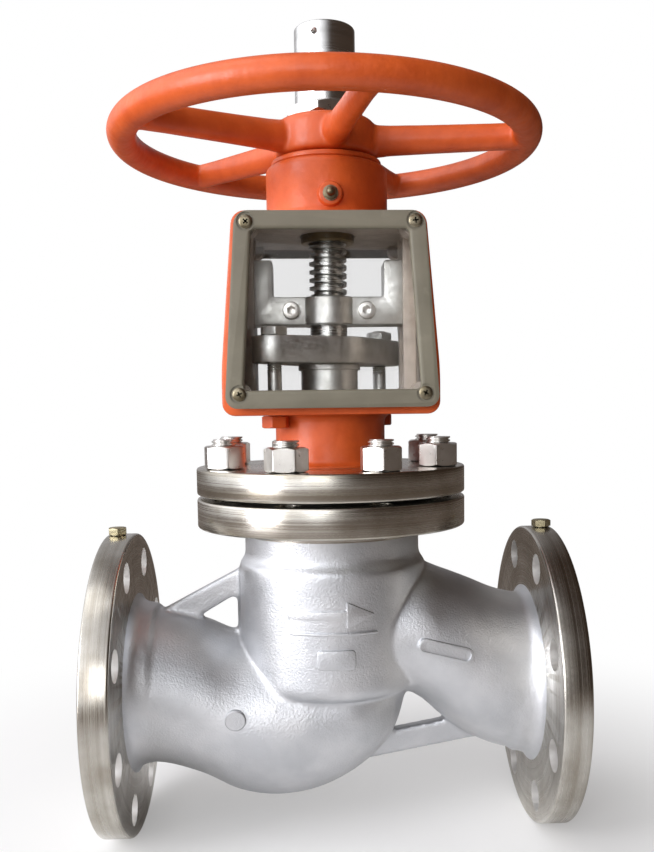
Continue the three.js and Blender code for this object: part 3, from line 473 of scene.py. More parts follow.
def turnedStainless(axis, name, light="#dddbd6", dark="#b8b4ab", roughness=0.24, feed=0.9):
    # stainless steel faced and turned on a lathe: bright, with rings from the tool's feed
    material, tree, shader, place = startMaterial(name, Metallic=1.0, Roughness=roughness)
    ringPlace = turnedPlace(tree, place, axis)
    rings = noiseAt(tree, ringPlace, feed, 3, 0.7)        # a 0.2 mm feed, drawn coarser to show
    bands = noiseAt(tree, ringPlace, 7, 2)
    cloud = noiseAt(tree, place, 30, 3)
    shade = addNode(tree, "ShaderNodeMath", {0: bands, 1: cloud}, operation="MULTIPLY").outputs[0]
    tree.links.new(blended(tree, mapped(tree, shade, 0.12, 0.4, 0, 1), dark, light),
                   shader.inputs["Base Color"])
    tree.links.new(mapped(tree, rings, 0.3, 0.7, roughness - 0.07, roughness + 0.12),
                   shader.inputs["Roughness"])
    tree.links.new(bumped(tree, rings, 0.05, 0.7), shader.inputs["Normal"])
    return material


def orangeEnamel():
    # alkyd enamel brushed over a cast iron or steel casting: warm orange, satin gloss,
    # slight orange peel over the softened lumps of the casting, thinner and darker in places
    look = {"colour": "#dc6128", "deep": "#c6501c", "peel": 3.0, "lump": 10.0}
    material, tree, shader, place = startMaterial(
        "Orange_enamel_on_casting", Metallic=0.0, Roughness=0.42, IOR=1.46,
        **{"Coat Weight": 0.12, "Coat Roughness": 0.2})
    cloud = mapped(tree, noiseAt(tree, place, 26, 4, 0.6), 0.32, 0.68, 0, 1)
    tree.links.new(blended(tree, cloud, look["deep"], look["colour"]), shader.inputs["Base Color"])
    tree.links.new(mapped(tree, noiseAt(tree, place, 6, 3), 0.3, 0.7, 0.36, 0.5),
                   shader.inputs["Roughness"])
    lumps = bumped(tree, noiseAt(tree, place, look["lump"], 2), 0.7, 0.6)
    tree.links.new(bumped(tree, noiseAt(tree, place, look["peel"], 3), 0.2, 0.8, lumps),
                   shader.inputs["Normal"])
    return material


def frameEnamel():
    # baked grey-green enamel on sheet steel: even satin, a little rubbed to bare grey
    look = {"colour": "#7b7666", "deep": "#716c5d", "rubbed": "#858070"}
    material, tree, shader, place = startMaterial(
        "Grey_green_enamel_sheet", Metallic=0.0, Roughness=0.45, IOR=1.45)
    cloud = mapped(tree, noiseAt(tree, place, 30, 3), 0.35, 0.65, 0, 1)
    base = blended(tree, cloud, look["deep"], look["colour"])
    worn = wearMask(tree, place, 14, 0.6, 0.85)
    mix = addNode(tree, "ShaderNodeMix", {0: worn, 6: base, 7: linear(look["rubbed"])},
                  data_type="RGBA")
    tree.links.new(mix.outputs[2], shader.inputs["Base Color"])
    tree.links.new(mapped(tree, worn, 0, 1, 0.5, 0.4), shader.inputs["Roughness"])
    tree.links.new(bumped(tree, noiseAt(tree, place, 2.4, 3), 0.1, 0.7), shader.inputs["Normal"])
    return material


def clearAcrylic():
    # clear cast acrylic sheet: nearly invisible, with a weak reflection and faint haze
    material, tree, shader, place = startMaterial(
        "Clear_acrylic_sheet", IOR=1.49, Roughness=0.04, Alpha=0.1,
        **{"Transmission Weight": 1.0, "Base Color": linear("#eef2f0")})
    haze = noiseAt(tree, place, 24, 3)
    tree.links.new(mapped(tree, haze, 0.3, 0.7, 0.02, 0.09), shader.inputs["Roughness"])
    return material


def dullSteel(name, light, dark, roughness=0.42, lump=3.0, metallic=1.0, depth=0.14,
              vary=0.09, detail=3):
    # carbon steel left as forged or zinc plated: grey, dull, softly mottled
    material, tree, shader, place = startMaterial(name, Metallic=metallic, Roughness=roughness)
    cloud = mapped(tree, noiseAt(tree, place, 11, 4, 0.6), 0.35, 0.65, 0, 1)
    tree.links.new(blended(tree, cloud, dark, light), shader.inputs["Base Color"])
    tree.links.new(mapped(tree, noiseAt(tree, place, 3, 3), 0.3, 0.7,
                          roughness - vary, roughness + vary), shader.inputs["Roughness"])
    tree.links.new(bumped(tree, noiseAt(tree, place, lump, detail), depth, 0.6),
                   shader.inputs["Normal"])
    return material


def softSheet(name, colour, other, size, roughness):
    # pressed or braided fibre: matt, with a woven unevenness
    material, tree, shader, place = startMaterial(name, Roughness=roughness, IOR=1.45)
    weave = noiseAt(tree, place, size, 3)
    tree.links.new(blended(tree, mapped(tree, weave, 0.4, 0.6, 0, 1), other, colour),
                   shader.inputs["Base Color"])
    tree.links.new(bumped(tree, weave, 0.3, 0.8), shader.inputs["Normal"])
    return material


machined = {"vary": 0.03, "detail": 1}   # cut metal hardly changes from place to place
finishes = {
    "castSteel": castStainless(),
    "turnedX": turnedStainless("X", "Turned_stainless_flange", "#cfccc4", "#9d968a", 0.22),
    "turnedZ": turnedStainless("Z", "Turned_stainless_cover", "#d8d5cd", "#a9a294", 0.22),
    "tube": turnedStainless("Z", "Drawn_stainless_tube", "#e6e6e4", "#cbcbc8", 0.2, 1.6),
    "fastener": dullSteel("Machined_stainless_fastener", "#dddbd6", "#d3d0ca", 0.3, 8.0,
                          depth=0.06, **machined),
    # hole walls painted near white: painted light standing in for the bright background seen
    # through the bolt holes
    "holeLight": dullSteel("Drilled_stainless_hole", "#f1f0ee", "#e4e2de", 0.5, 6.0,
                         depth=0.05, **machined),
    "earthBolt": dullSteel("Yellow_zinc_plated_bolt", "#b5ad90", "#a1997b", 0.45, 6.0,
                           depth=0.0, **machined),
    "stem": turnedStainless("Z", "Ground_stainless_stem", "#d2d2cf", "#a8a8a4", 0.24, 0.7),
    "enamel": orangeEnamel(),
    "frame": frameEnamel(),
    "pane": clearAcrylic(),
    "inner": dullSteel("Grey_primer_on_casting", "#b9ada0", "#a3978a", 0.5, 6.0,
                       metallic=0.2),
    "dull": dullSteel("Zinc_plated_carbon_steel", "#dcdcd8", "#c4c4bf", 0.42),
    "screw": dullSteel("Nickel_plated_screw", "#958d79", "#6e654f", 0.42, 3.0),
    "bronze": turnedStainless("Z", "Oiled_bronze", "#8f7d5c", "#6b5c42", 0.34),
    "bearing": turnedStainless("Z", "Ground_bearing_steel", "#dcdcda", "#bdbdbb", 0.16, 1.2),
    "packing": softSheet("Braided_graphite_packing", "#5a5a58", "#343434", 1.6, 0.75),
    "gasket": softSheet("Graphite_gasket_sheet", "#4a4a49", "#2f2f2f", 1.0, 0.7),
}
print("materials made")


def painted(piece, finish):
    # the whole piece gets one finish, in its only slot
    piece.data.materials.clear()
    piece.data.materials.append(finishes[finish])
    return piece


def finishPiece(piece, finish, slotName, body, *nodes, angle=32):
    # finish None keeps the finishes that the piece was put together with
    makeActive(piece)
    if finish:
        painted(piece, finish)
    bpy.ops.object.shade_smooth_by_angle(angle=radians(angle))
    if nodes:
        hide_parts(*nodes)
    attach(piece, body)
    return piece


def finishedCopies(master, finish, slotName, body, spots):
    # what repeats is modelled once; spots are (name, replaced node, place, turn)
    for name, node, at, turn in spots:
        finishPiece(copyOf(master, name, at, turn), finish, slotName, body, node)
    bpy.data.objects.remove(master)


# body casting with its two pipe flanges and the cover flange

casting = {
    "inlet": [
        (-158, 60, -60.5, 60.5), (-130, 56.5, -61.5, 60), (-100, 48, -71, 60.5),
        (-74, 37, -84, 62), (-45, 36, -89, 64), (-12, 38, -84, 63), (20, 38, -67, 59),
        (44, 34, -43, 43), (55, 20, -12, 22)],
    "inletBore": [
        (-177, 50, -50, 50), (-140, 48, -51, 50), (-105, 39, -62, 50.5), (-76, 24, -76, 51.5),
        (-50, -4, -81, 53.5), (-12, -6, -76, 53), (20, -6, -59, 49), (40, -8, -37, 32),
        (47, -14, -22, 12)],
    "outlet": [
        (20, 86, 0, 58), (60, 92, -12, 60), (84, 84.5, -32, 61), (106, 76, -47.5, 61),
        (130, 66, -57, 61), (158, 60.5, -61, 60.5)],
    "outletBore": [
        (40, 80, 17, 44), (60, 80, 8, 48), (84, 72, -19, 50), (108, 62, -37, 50),
        (140, 51, -49, 50), (177, 50, -50, 50)],
    "barrel": 71.4, "shoulder": 95, "neck": 66.9,
    "upperWeb": [(-138, 40), (-100, 30), (-60, 34), (-60, 94), (-138, 53.5)],
    "upperGap": [(-104, 50.5), (-74, 38), (-74, 68)],
    "lowerWeb": [(4, -70), (118, -50), (112, -34), (62, 0), (30, -20)],
    "lowerGap": [(26, -47), (59, -8), (92, -35.5)],
    "voxel": 1.65, "relax": 11,
}
pipeFlange = {
    "radius": 115, "thickness": 20.5, "raised": 80, "raisedHeight": 3,
    "holes": 8, "holeCircle": 95, "holeRadius": 11.5, "edge": 1.6,
}
cover = {
    "radius": 102.2, "low": 121.6, "high": 143.15, "studRadius": 9,
    "chamber": 57, "chamberFloor": 12, "portFloor": -18,
    "seatRadius": 49, "seatWidth": 5.5, "seatHeight": 2, "edge": 1.6,
}


def flareToFlange(side):
    # cast neck that opens into the back of a pipe flange
    back = span("body", "x")[1] - pipeFlange["raisedHeight"] - pipeFlange["thickness"]
    flare = turnedPiece("flare", [(52, back - 16), (60.4, back - 16), (61.2, back - 10),
                                  *arc(71.5, back - 9.5, 10, 172, 100, 4), (71, back + 6),
                                  (50, back + 6)], 96)
    return placed(flare, (0, 0, 0), (0, side * 90, 0))


def castingBlank():
    c = casting
    barrel = turnedPiece("barrel", [
        (54, -6), *arc(c["barrel"] - 9, 8, 9, -80, 0, 4), (c["barrel"], c["shoulder"] - 10),
        *arc(c["barrel"] - 5, c["shoulder"] - 4, 5, 10, 60, 3), (c["neck"], c["shoulder"] + 5),
        (c["neck"], cover["low"] + 4)], 96)
    upper = slab("upperWeb", c["upperWeb"], -5, 5, 3)
    cutBy(upper, slab("upperGap", c["upperGap"], -9, 9, 5))
    lower = slab("lowerWeb", c["lowerWeb"], -6, 6, 3)
    cutBy(lower, slab("lowerGap", c["lowerGap"], -9, 9, 5))
    whole = joined("body_casting", branchPiece("inlet", c["inlet"]),
                   branchPiece("outlet", c["outlet"]), barrel, upper, lower,
                   flareToFlange(-1), flareToFlange(1))
    return fused(whole, c["voxel"], c["relax"])


def pipeFlangePiece(side):
    f = pipeFlange
    face = span("body", "x")[1]
    front = face - f["raisedHeight"]
    back = front - f["thickness"]
    e = f["edge"]
    piece = turnedPiece("flange", [
        (40, back), (f["radius"] - e - 1.2, back),
        *arc(f["radius"] - e, back + e, e, -90, 0, 4),
        *arc(f["radius"] - e, front - e, e, 0, 90, 4),
        (f["raised"] + 0.8, front), (f["raised"], front + 0.4), (f["raised"], face - 0.5),
        (f["raised"] - 0.5, face), (40, face)], 128)
    painted(piece, "turnedX")
    drills = []
    for i in range(f["holes"]):
        angle = 2 * pi * (i + 0.5) / f["holes"]
        drill = rod("drill", f["holeRadius"], (back - 14, back), (front, front + 8), 48, 0.9)
        at = Vector((cos(angle), sin(angle), 0)) * f["holeCircle"]
        drills.append(placed(drill, at))
    ground = placed(rod("drill", 4.4, 0, 20, 32),
                    (-side * (f["radius"] - 14), 0, front - f["thickness"] / 2 + 2.5),
                    (0, -side * 90, 0))
    # the drill walls take the near-white hole finish, painted light for the background seen through
    # the holes
    combineMaterials(piece, "DIFFERENCE", painted(joined("drills", ground, *drills), "holeLight"))
    return placed(piece, (0, 0, 0), (0, side * 90, 0))


castMark = {"stand": 2.0, "arrowMiddle": 64, "lineAt": 50.5, "padMiddle": 32}


def curvedMark(name, outline, corner):
    # flat shape stood off the barrel by an even height
    r = casting["barrel"]
    mark = slab(name, outline, -r - 8, -r + 14, corner, 0, cornerSteps=4)
    skin = turnedPiece("skin", [(r + castMark["stand"], 0), (r + castMark["stand"], 95)], 160)
    combine(mark, "INTERSECT", skin)
    return softened(mark, 0.7, 3, 40)


def castMarks():
    # flow arrow over a line and a blank plate, an oblong bar with a sunk floor, a round pad
    a, b, c = castMark["arrowMiddle"], castMark["lineAt"], castMark["padMiddle"]
    arrow = curvedMark("arrow", [(-34, a - 3), (8, a - 3), (8, a - 9.5), (28, a), (8, a + 9.5),
                                 (8, a + 3), (-34, a + 3)], 0.9)
    line = curvedMark("line", oblong(-33, 30, b - 0.9, b + 0.9), 0.7)
    pad = curvedMark("plate", oblong(-14, 14, c - 7, c + 7), 3)
    bar = slab("bar", oblong(-21, 21, -5.6, 5.6), -3, 9, 5.4, 0.6)
    cutBy(bar, slab("barFloor", oblong(-19, 19, -3.7, 3.7), -8, -1.4, 3.5))
    placed(bar, (79.5, -60.2, 34), (0, 15, 3))
    disc = placed(turnedPiece("pad", [(7.6, 46), (7.6, 62.4), (6.8, 63.2)], 40), (-73, 0, -13),
                  (90, 0, 0))
    return [arrow, line, pad, bar, disc]


def makeBody():
    piece = castingBlank()
    painted(piece, "castSteel")
    print("  casting fused:", len(piece.data.polygons), "faces")
    c = cover
    e = c["edge"]
    collar = turnedPiece("collar", [
        (casting["neck"] - 10, c["low"] - 7), (casting["neck"] + 0.1, c["low"] - 7),
        *arc(casting["neck"] + 5.1, c["low"] - 5, 5, 180, 90, 4),
        *arc(c["radius"] - e, c["low"] + e, e, -90, 0, 4),
        *arc(c["radius"] - e, c["high"] - e, e, 0, 90, 4), (40, c["high"])], 144)
    for extra in (painted(collar, "turnedZ"), pipeFlangePiece(-1), pipeFlangePiece(1)):
        combineMaterials(piece, "UNION", extra)
    for mark in castMarks():
        combineMaterials(piece, "UNION", painted(mark, "castSteel"))
    chamber = rod("chamber", c["chamber"], c["chamberFloor"], c["high"] + 3, 96)
    seat = turnedPiece("seat", oblong(c["seatRadius"], c["seatRadius"] + c["seatWidth"],
                                      c["chamberFloor"] - 1, c["chamberFloor"] + c["seatHeight"]),
                       96, True)
    cutBy(chamber, seat)
    seatBore = rod("seatBore", c["seatRadius"] - 0.4, c["portFloor"], c["chamberFloor"] + 6, 96)
    for cutter, finish in ((branchPiece("bore", casting["inletBore"]), "castSteel"),
                           (branchPiece("bore", casting["outletBore"]), "castSteel"),
                           (chamber, "turnedZ"), (seatBore, "turnedZ")):
        combineMaterials(piece, "DIFFERENCE", painted(cutter, finish))
    drills = []
    for x, y in studPlaces():
        drills.append(placed(rod("drill", c["studRadius"] + 0.45, (100, c["low"]),
                                 (c["high"], c["high"] + 4), 40, 0.6), (x, y, 0)))
    drills = joined("drills", *drills)
    combineMaterials(piece, "DIFFERENCE", painted(drills, "turnedZ"))
    print("  body made:", len(piece.data.polygons), "faces")
    return finishPiece(piece, None, "cast_steel", "valve_body", "body")


def studPlaces():
    return [(middle(f"bonnet_stud_{i}", "x"), middle(f"bonnet_stud_{i}", "y")) for i in range(1, 9)]


makeBody()

# bonnet flange and the windowed yoke casting above it

bonnet = {
    "radius": 102.2, "low": 146.25, "high": 166.2, "spigot": 56.5, "spigotLow": 137,
    "backseat": 122.2, "stemBore": 14.6,
}
yoke = {
    "neck": 41.7, "boxLow": 205, "boxTop": 346.5, "floor": 218, "ceiling": 338.5,
    "halfDepth": 58, "lowHalf": 77, "taperFrom": 236, "topHalf": 67.5, "wall": 9, "corner": 9,
    "housing": 45.3, "housingTop": 388, "capSeat": 41, "bearingBore": 30.6, "bearingFloor": 351,
    "packingBore": 22.3, "packingFloor": 172, "rails": (55, 64.5, 13.8, 19.8),
    "screws": ((-64, 220.5), (64, 220.5), (57.5, 336.5), (-57.5, 336.5)), "boss": 7.5,
}


def makeBonnetFlange():
    b = bonnet
    e = cover["edge"]
    piece = turnedPiece("bonnet_flange", [
        (20, b["backseat"]), (30, b["backseat"]), (34, b["spigotLow"]),
        (b["spigot"], b["spigotLow"]),
        (b["spigot"], b["low"]), (b["radius"] - e - 1, b["low"]),
        *arc(b["radius"] - e, b["low"] + e, e, -90, 0, 4),
        *arc(b["radius"] - e, b["high"] - e, e, 0, 90, 4), (30, b["high"])], 144)
    drills = [placed(rod("drill", cover["studRadius"] + 0.6, (b["low"] - 6, b["low"]),
                         (b["high"], b["high"] + 4), 40, 0.7), (x, y, 0)) for x, y in studPlaces()]
    cutBy(piece, joined("drills", *drills),
          rod("drill", b["stemBore"], (100, b["backseat"]), (160, 200), 64, 1.2))
    return finishPiece(piece, "turnedZ", "turned_steel", "valve_body", "bonnet_yoke")


def yokeOutline(inset, low, high, topShift=0.0):
    y = yoke
    return [(-y["lowHalf"] + inset, low), (y["lowHalf"] - inset, low),
            (y["lowHalf"] - inset, y["taperFrom"]), (y["topHalf"] - inset + topShift, high),
            (-y["topHalf"] + inset - topShift, high), (-y["lowHalf"] + inset, y["taperFrom"])]


def glandBoltPlaces():
    return [(side, middle(f"gland_bolt_{side}", "x"), middle(f"gland_bolt_{side}", "y"))
            for side in ("left", "right")]


def makeYoke():
    y = yoke
    d = y["halfDepth"]
    piece = slab("yoke_casting", yokeOutline(0, y["boxLow"], y["boxTop"]), -d, d, y["corner"], 1.4)
    neck = turnedPiece("neck", [
        (30, bonnet["high"] + 0.05), (45.5, bonnet["high"] + 0.05), (45.6, bonnet["high"] + 1.4),
        *arc(46.7, bonnet["high"] + 6.4, 5, 250, 180, 4),
        *arc(y["neck"] + 6, y["boxLow"] - 6, 6, 180, 90, 5), (30, y["boxLow"] + 2)], 96)
    housing = turnedPiece("housing", [
        (35, y["ceiling"] + 1), (y["housing"] + 7, y["ceiling"] + 1),
        *arc(y["housing"] + 7, y["boxTop"] + 6, 7, 268, 180, 5),
        *arc(y["housing"] - 5, y["housingTop"] - 5, 5, 0, 75, 5),
        (y["capSeat"] - 0.5, y["housingTop"]), (35, y["housingTop"])], 96)
    nippleX, nippleZ = middle("grease_nipple", "x"), middle("grease_nipple", "z")
    boss = turnedPiece("boss", [(9.4, 34), (9.4, y["housing"] - 1), (8.6, y["housing"] + 1.2),
                                *arc(7.2, y["housing"] + 2, 1.2, 0, 90, 3)], 48)
    placed(boss, (nippleX, 0, nippleZ), (90, 0, 0))
    combine(piece, "UNION", neck, housing, boss)
    painted(piece, "enamel")
    inside = slab("inside", yokeOutline(y["wall"], y["floor"], y["ceiling"], 0.8), -d - 5, d + 5, 5)
    combineMaterials(piece, "DIFFERENCE", painted(inside, "inner"))
    inner, outer, near, far = y["rails"]
    fittings = [slab("rail", oblong(sx * inner, sx * outer, sy * near, sy * far),
                     y["floor"] - 1, y["ceiling"] + 1, 0, 0.8, True)
                for sx in (-1, 1) for sy in (-1, 1)]
    for x, z in y["screws"]:
        for side in (-1, 1):
            depth = sorted((side * (d - 0.2), side * (d - 16)))
            fittings.append(placed(rod("boss", y["boss"], -depth[1], -depth[0], 40), (x, 0, z),
                                   (90, 0, 0)))
    for fitting in fittings:
        combineMaterials(piece, "UNION", painted(fitting, "inner"))
    drills = [rod("drill", bonnet["stemBore"], 150, y["floor"] + 2, 48),
              rod("drill", y["packingBore"], (y["packingFloor"], y["packingFloor"] + 1),
                  (y["floor"], y["floor"] + 3), 64, 1.0),
              rod("drill", 21, y["ceiling"] - 3, y["bearingFloor"] + 1, 64),
              rod("drill", y["bearingBore"], y["bearingFloor"], y["housingTop"] + 3, 64),
              placed(rod("drill", 3.1, 25, 60, 24), (nippleX, 0, nippleZ), (90, 0, 0))]
    drills += [placed(rod("drill", 6, y["boxLow"] - 3, y["floor"] + 3, 40), (x, yy, 0))
               for side, x, yy in glandBoltPlaces()]
    for drill in drills:
        combineMaterials(piece, "DIFFERENCE", painted(drill, "dull"))
    print("  yoke made:", len(piece.data.polygons), "faces")
    return finishPiece(piece, None, "orange_enamel", "valve_body", "bonnet_yoke")


makeBonnetFlange()
makeYoke()
print("bonnet and yoke made")

# studs, nuts and the earthing bolts on the pipe flanges

fastener = {
    "studRadius": 9, "studRoot": 7.8, "studPitch": 2.5, "nutFlats": 27,
    "nutCorners": (12, 35, 52, 20, 44, 55, 33, 17),   # where one corner of each nut points
    "earthFlats": 13, "earthHead": 5,
}


def makeStuds():
    f = fastener
    low, high = span("bonnet_stud_1", "z")
    thread = threadedRod("bonnet_stud", f["studRadius"], f["studRoot"], f["studPitch"],
                         high - 12, high)
    blank = turnedPiece("blank", [(10, low), (10, high - 1.6), (7.4, high)], 48)
    combine(thread, "INTERSECT", blank)
    combine(thread, "UNION", rod("shank", 8.5, low, high - 11, 36))
    nutLow, nutHigh = span("bonnet_nut_1", "z")
    nut = hexPiece("bonnet_nut", f["nutFlats"], nutHigh - nutLow, 9.3, True)
    places = list(enumerate(studPlaces()))
    finishedCopies(thread, "fastener", "turned_steel", "valve_body", [
        (f"stud_{i + 1}", f"bonnet_stud_{i + 1}", (x, y, 0), (0, 0, 0)) for i, (x, y) in places])
    finishedCopies(nut, "fastener", "turned_steel", "valve_body", [
        (f"stud_nut_{i + 1}", f"bonnet_nut_{i + 1}", (x, y, nutLow),
         (0, 0, f["nutCorners"][i] - 30)) for i, (x, y) in places])


def makeEarthBolts():
    bolt = hexPiece("earth_bolt", fastener["earthFlats"], fastener["earthHead"], washer=0.6)
    combine(bolt, "UNION", rod("shank", 4, -12, 2, 24))
    spots = []
    for end in ("inlet", "outlet"):
        node = f"grounding_bolt_{end}"
        at = (middle(node, "x"), middle(node, "y"), span(node, "z")[1] - fastener["earthHead"])
        spots.append((f"earthing_bolt_{end}", node, at, (0, 0, 12)))
    finishedCopies(bolt, "earthBolt", "turned_steel", "valve_body", spots)


makeStuds()
makeEarthBolts()
print("studs, nuts and earthing bolts made")

# handwheel, its lock nut, the cover tube, the cap and the grease nipple

wheel = {
    "radius": 148.5, "rim": 10.6, "height": 407, "spokes": 5, "firstSpoke": -80,
    "spoke": ((20, 12.4, 11), (34, 12, 10.5), (48, 11, 8.6), (80, 10.4, 7.6), (125, 9.8, 7),
              (141, 9.8, 8), (150, 8.6, 8)),   # reach, half height, half width
    "hub": 37.7, "hubLow": 394.6, "hubHigh": 421.5, "bore": 20.4, "voxel": 1.45, "relax": 7,
    "keyHalf": 4.3, "keyGap": 0.3,
}


def keyway(low, high):
    # slot for the key, with room round it
    near, far = (v / mm for v in (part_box("handwheel_key")[0].x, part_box("handwheel_key")[1].x))
    gap, half = wheel["keyGap"], wheel["keyHalf"]
    return slab("keyway", oblong(near - gap, far + gap, -half, half), low, high, flat=True)


def spokePiece(angle):
    rows = [(reach, tall, -tall, wide) for reach, tall, wide in wheel["spoke"]]
    return placed(ovalPiece("spoke", rows, 36), (0, 0, wheel["height"]), (0, 0, angle))


def makeHandwheel():
    w = wheel
    hubLow, hubHigh = w["hubLow"], w["hubHigh"]
    deselectAll()
    bpy.ops.mesh.primitive_torus_add(major_radius=w["radius"] * mm, minor_radius=w["rim"] * mm,
                                     major_segments=160, minor_segments=32,
                                     location=(0, 0, w["height"] * mm))
    rim = placed(bpy.context.object, (0, 0, w["height"]))
    r = w["hub"]
    hub = turnedPiece("hub", [(20, hubLow), (r - 2, hubLow), (r, hubLow + 2), (r, hubHigh - 7),
                              *arc(r - 6, hubHigh - 6, 6, 10, 80, 4), (20, hubHigh)], 96)
    spokes = [spokePiece(w["firstSpoke"] + 360 * i / w["spokes"]) for i in range(w["spokes"])]
    piece = fused(joined("wheel_casting", rim, hub, *spokes), w["voxel"], w["relax"])
    painted(piece, "enamel")
    bore = rod("bore", w["bore"], (hubLow - 6, hubLow), (hubHigh, hubHigh + 6), 96, 1.0)
    for cutter in (bore, keyway(hubLow + 1.7, hubHigh - 1.7)):
        combineMaterials(piece, "DIFFERENCE", painted(cutter, "dull"))
    print("  wheel made:", len(piece.data.polygons), "faces")
    return finishPiece(piece, None, "orange_enamel", "handwheel", "handwheel")


lockNut = {"flats": 52, "corner": -103, "bore": 20.4}
tube = {"radius": 22.5, "bore": 20.4, "edge": 1.6}
cap = {"radius": 41, "edge": 1.6, "bore": 20.8, "spigot": 30}


def makeTopParts():
    low, high = span("handwheel_lock_nut", "z")
    nut = hexPiece("lock_nut", lockNut["flats"], high - low, lockNut["bore"], True)
    placed(nut, (0, 0, low), (0, 0, lockNut["corner"] - 30))
    finishPiece(nut, "fastener", "turned_steel", "handwheel", "handwheel_lock_nut")
    low, high = span("stem_cover_tube", "z")
    r, e = tube["radius"], tube["edge"]
    cover = turnedPiece("cover_tube", [(18, low), (r - 0.5, low), (r, low + 0.5),
                                       *arc(r - e, high - e, e, 0, 80, 4), (12, high)], 96)
    cutBy(cover, rod("bore", tube["bore"], low - 2, high - 3, 72))
    dimple = placed(turnedPiece("dimple", [(0.3, 19.4), (3.0, 22.2), (3.4, 26)], 24),
                    (-3, 0, high - 8), (90, 0, -14))
    cutBy(cover, dimple)
    finishPiece(cover, "tube", "turned_steel", "handwheel", "stem_cover_tube")
    low, high = span("bearing_cap", "z")
    seat = yoke["housingTop"] + 0.3
    r, e = cap["radius"], cap["edge"]
    ring = turnedPiece("bearing_cap_ring", [
        (cap["bore"], low), (cap["spigot"], low), (cap["spigot"], seat), (r - 0.8, seat),
        (r, seat + 0.8), *arc(r - e, high - e, e, 0, 90, 4), (cap["bore"] + 0.8, high),
        (cap["bore"], high - 0.8)], 96, True)
    finishPiece(ring, "enamel", "orange_enamel", "valve_body", "bearing_cap")


def makeNipple():
    x, z = middle("grease_nipple", "x"), middle("grease_nipple", "z")
    outer = -span("grease_nipple", "y")[0]
    base = yoke["housing"] + 3.3
    hexPart = placed(hexPiece("nippleHex", 9, 3, 0, True), (0, 0, base))
    body = turnedPiece("nippleBody", [(2.6, base - 10), (2.6, base), (5.4, base + 0.01),
                                      (5.4, base + 1.1), (2.6, base + 1.4), (2.4, outer - 4.6),
                                      *arc(0.3, outer - 3.1, 2.9, -30, 80, 6)], 40)
    combine(hexPart, "UNION", body)
    placed(hexPart, (x, 0, z), (90, 0, 0))
    hexPart.name = "grease_fitting"
    finishPiece(hexPart, "screw", "grey_steel", "valve_body", "grease_nipple")


makeHandwheel()
makeTopParts()
makeNipple()
print("handwheel group made")

# stem, disc, gland, stem guide plates and stem nut

stemLook = {
    "radius": 14, "button": 20, "collar": 18, "collarAt": 95,
    "crest": 14.2, "root": 10.7, "pitch": 6.1, "threadFrom": 293.5,
}


def makeStem():
    low, high = span("stem", "z")
    s = stemLook
    r, button, collar, at = s["radius"], s["button"], s["collar"], s["collarAt"]
    rings = [(button - 0.6, low), (button, low + 0.6), (button, low + 6.3),
             (button - 0.6, low + 6.9), (r, low + 7), (r, at - 7.5), (collar, at - 4.5),
             (collar, at + 4.5), (r, at + 8.5), (r, s["threadFrom"] - 2.5),
             (s["root"], s["threadFrom"]), (s["root"], s["threadFrom"] + 1.5)]
    shaft = turnedPiece("valve_stem", rings, 64)
    thread = threadedRod("thread", s["crest"], s["root"], s["pitch"], s["threadFrom"] - 0.5,
                         high, 48, -1)
    combine(thread, "INTERSECT", turnedPiece("blank", [
        (s["root"] - 0.3, s["threadFrom"] - 0.5), (16, s["threadFrom"] + 4), (16, high - 4),
        (s["root"], high)], 64))
    combine(shaft, "UNION", thread)
    finishPiece(shaft, "stem", "stem_steel", "stem", "stem")


plug = {"radius": 55.5, "neck": 30, "pocket": 22.5, "pocketFloor": 18.8}


def makeDisc():
    low, high = span("disc", "z")
    r, neck, bore, floor = (plug[k] for k in ("radius", "neck", "pocket", "pocketFloor"))
    piece = turnedPiece("valve_disc", [
        (r - 4, low), (r - 3, low + 0.3), (r - 0.3, low + 3), (r, low + 3.6), (r, low + 11.6),
        *arc(r - 3, low + 12, 3, 0, 70, 3), (neck + 10, low + 19.5), (neck + 4, low + 22),
        *arc(neck + 7, low + 29, 7, 250, 180, 4), (neck, high - 1), (neck - 1, high),
        (bore + 1, high)], 96)
    cutBy(piece, rod("pocket", bore, (floor, floor + 0.2), (high, high + 3), 72, 0.5))
    finishPiece(piece, "turnedZ", "turned_steel", "disc", "disc")
    low, high = span("disc_nut", "z")
    nut = turnedPiece("disc_retaining_nut", [
        (14.4, low), (22.2, low), (22.2, high - 5.7), (26.4, high - 5.7), (27, high - 5.1),
        (27, high - 0.8), (26.2, high), (15.2, high), (14.4, high - 0.8)], 72, True)
    finishPiece(nut, "turnedZ", "turned_steel", "disc", "disc_nut")


gland = {
    "angle": 38.5, "reach": 52, "endRadius": 16.3, "centreRadius": 32, "bore": 14.8,
    "boltFlats": 18, "boltRadius": 5.5, "headCorner": 18,
}


def glandOutline():
    # two end circles joined to a middle circle by their shared tangents
    g = gland
    touch = acos((g["centreRadius"] - g["endRadius"]) / g["reach"])
    spots = []
    for centre, radius, start, end in (
            (g["reach"], g["endRadius"], -touch, touch),
            (0, g["centreRadius"], touch, pi - touch),
            (-g["reach"], g["endRadius"], pi - touch, pi + touch),
            (0, g["centreRadius"], pi + touch, 2 * pi - touch)):
        for i in range(15):
            a = start + (end - start) * i / 14
            spots.append((centre + radius * cos(a), radius * sin(a)))
    return spots


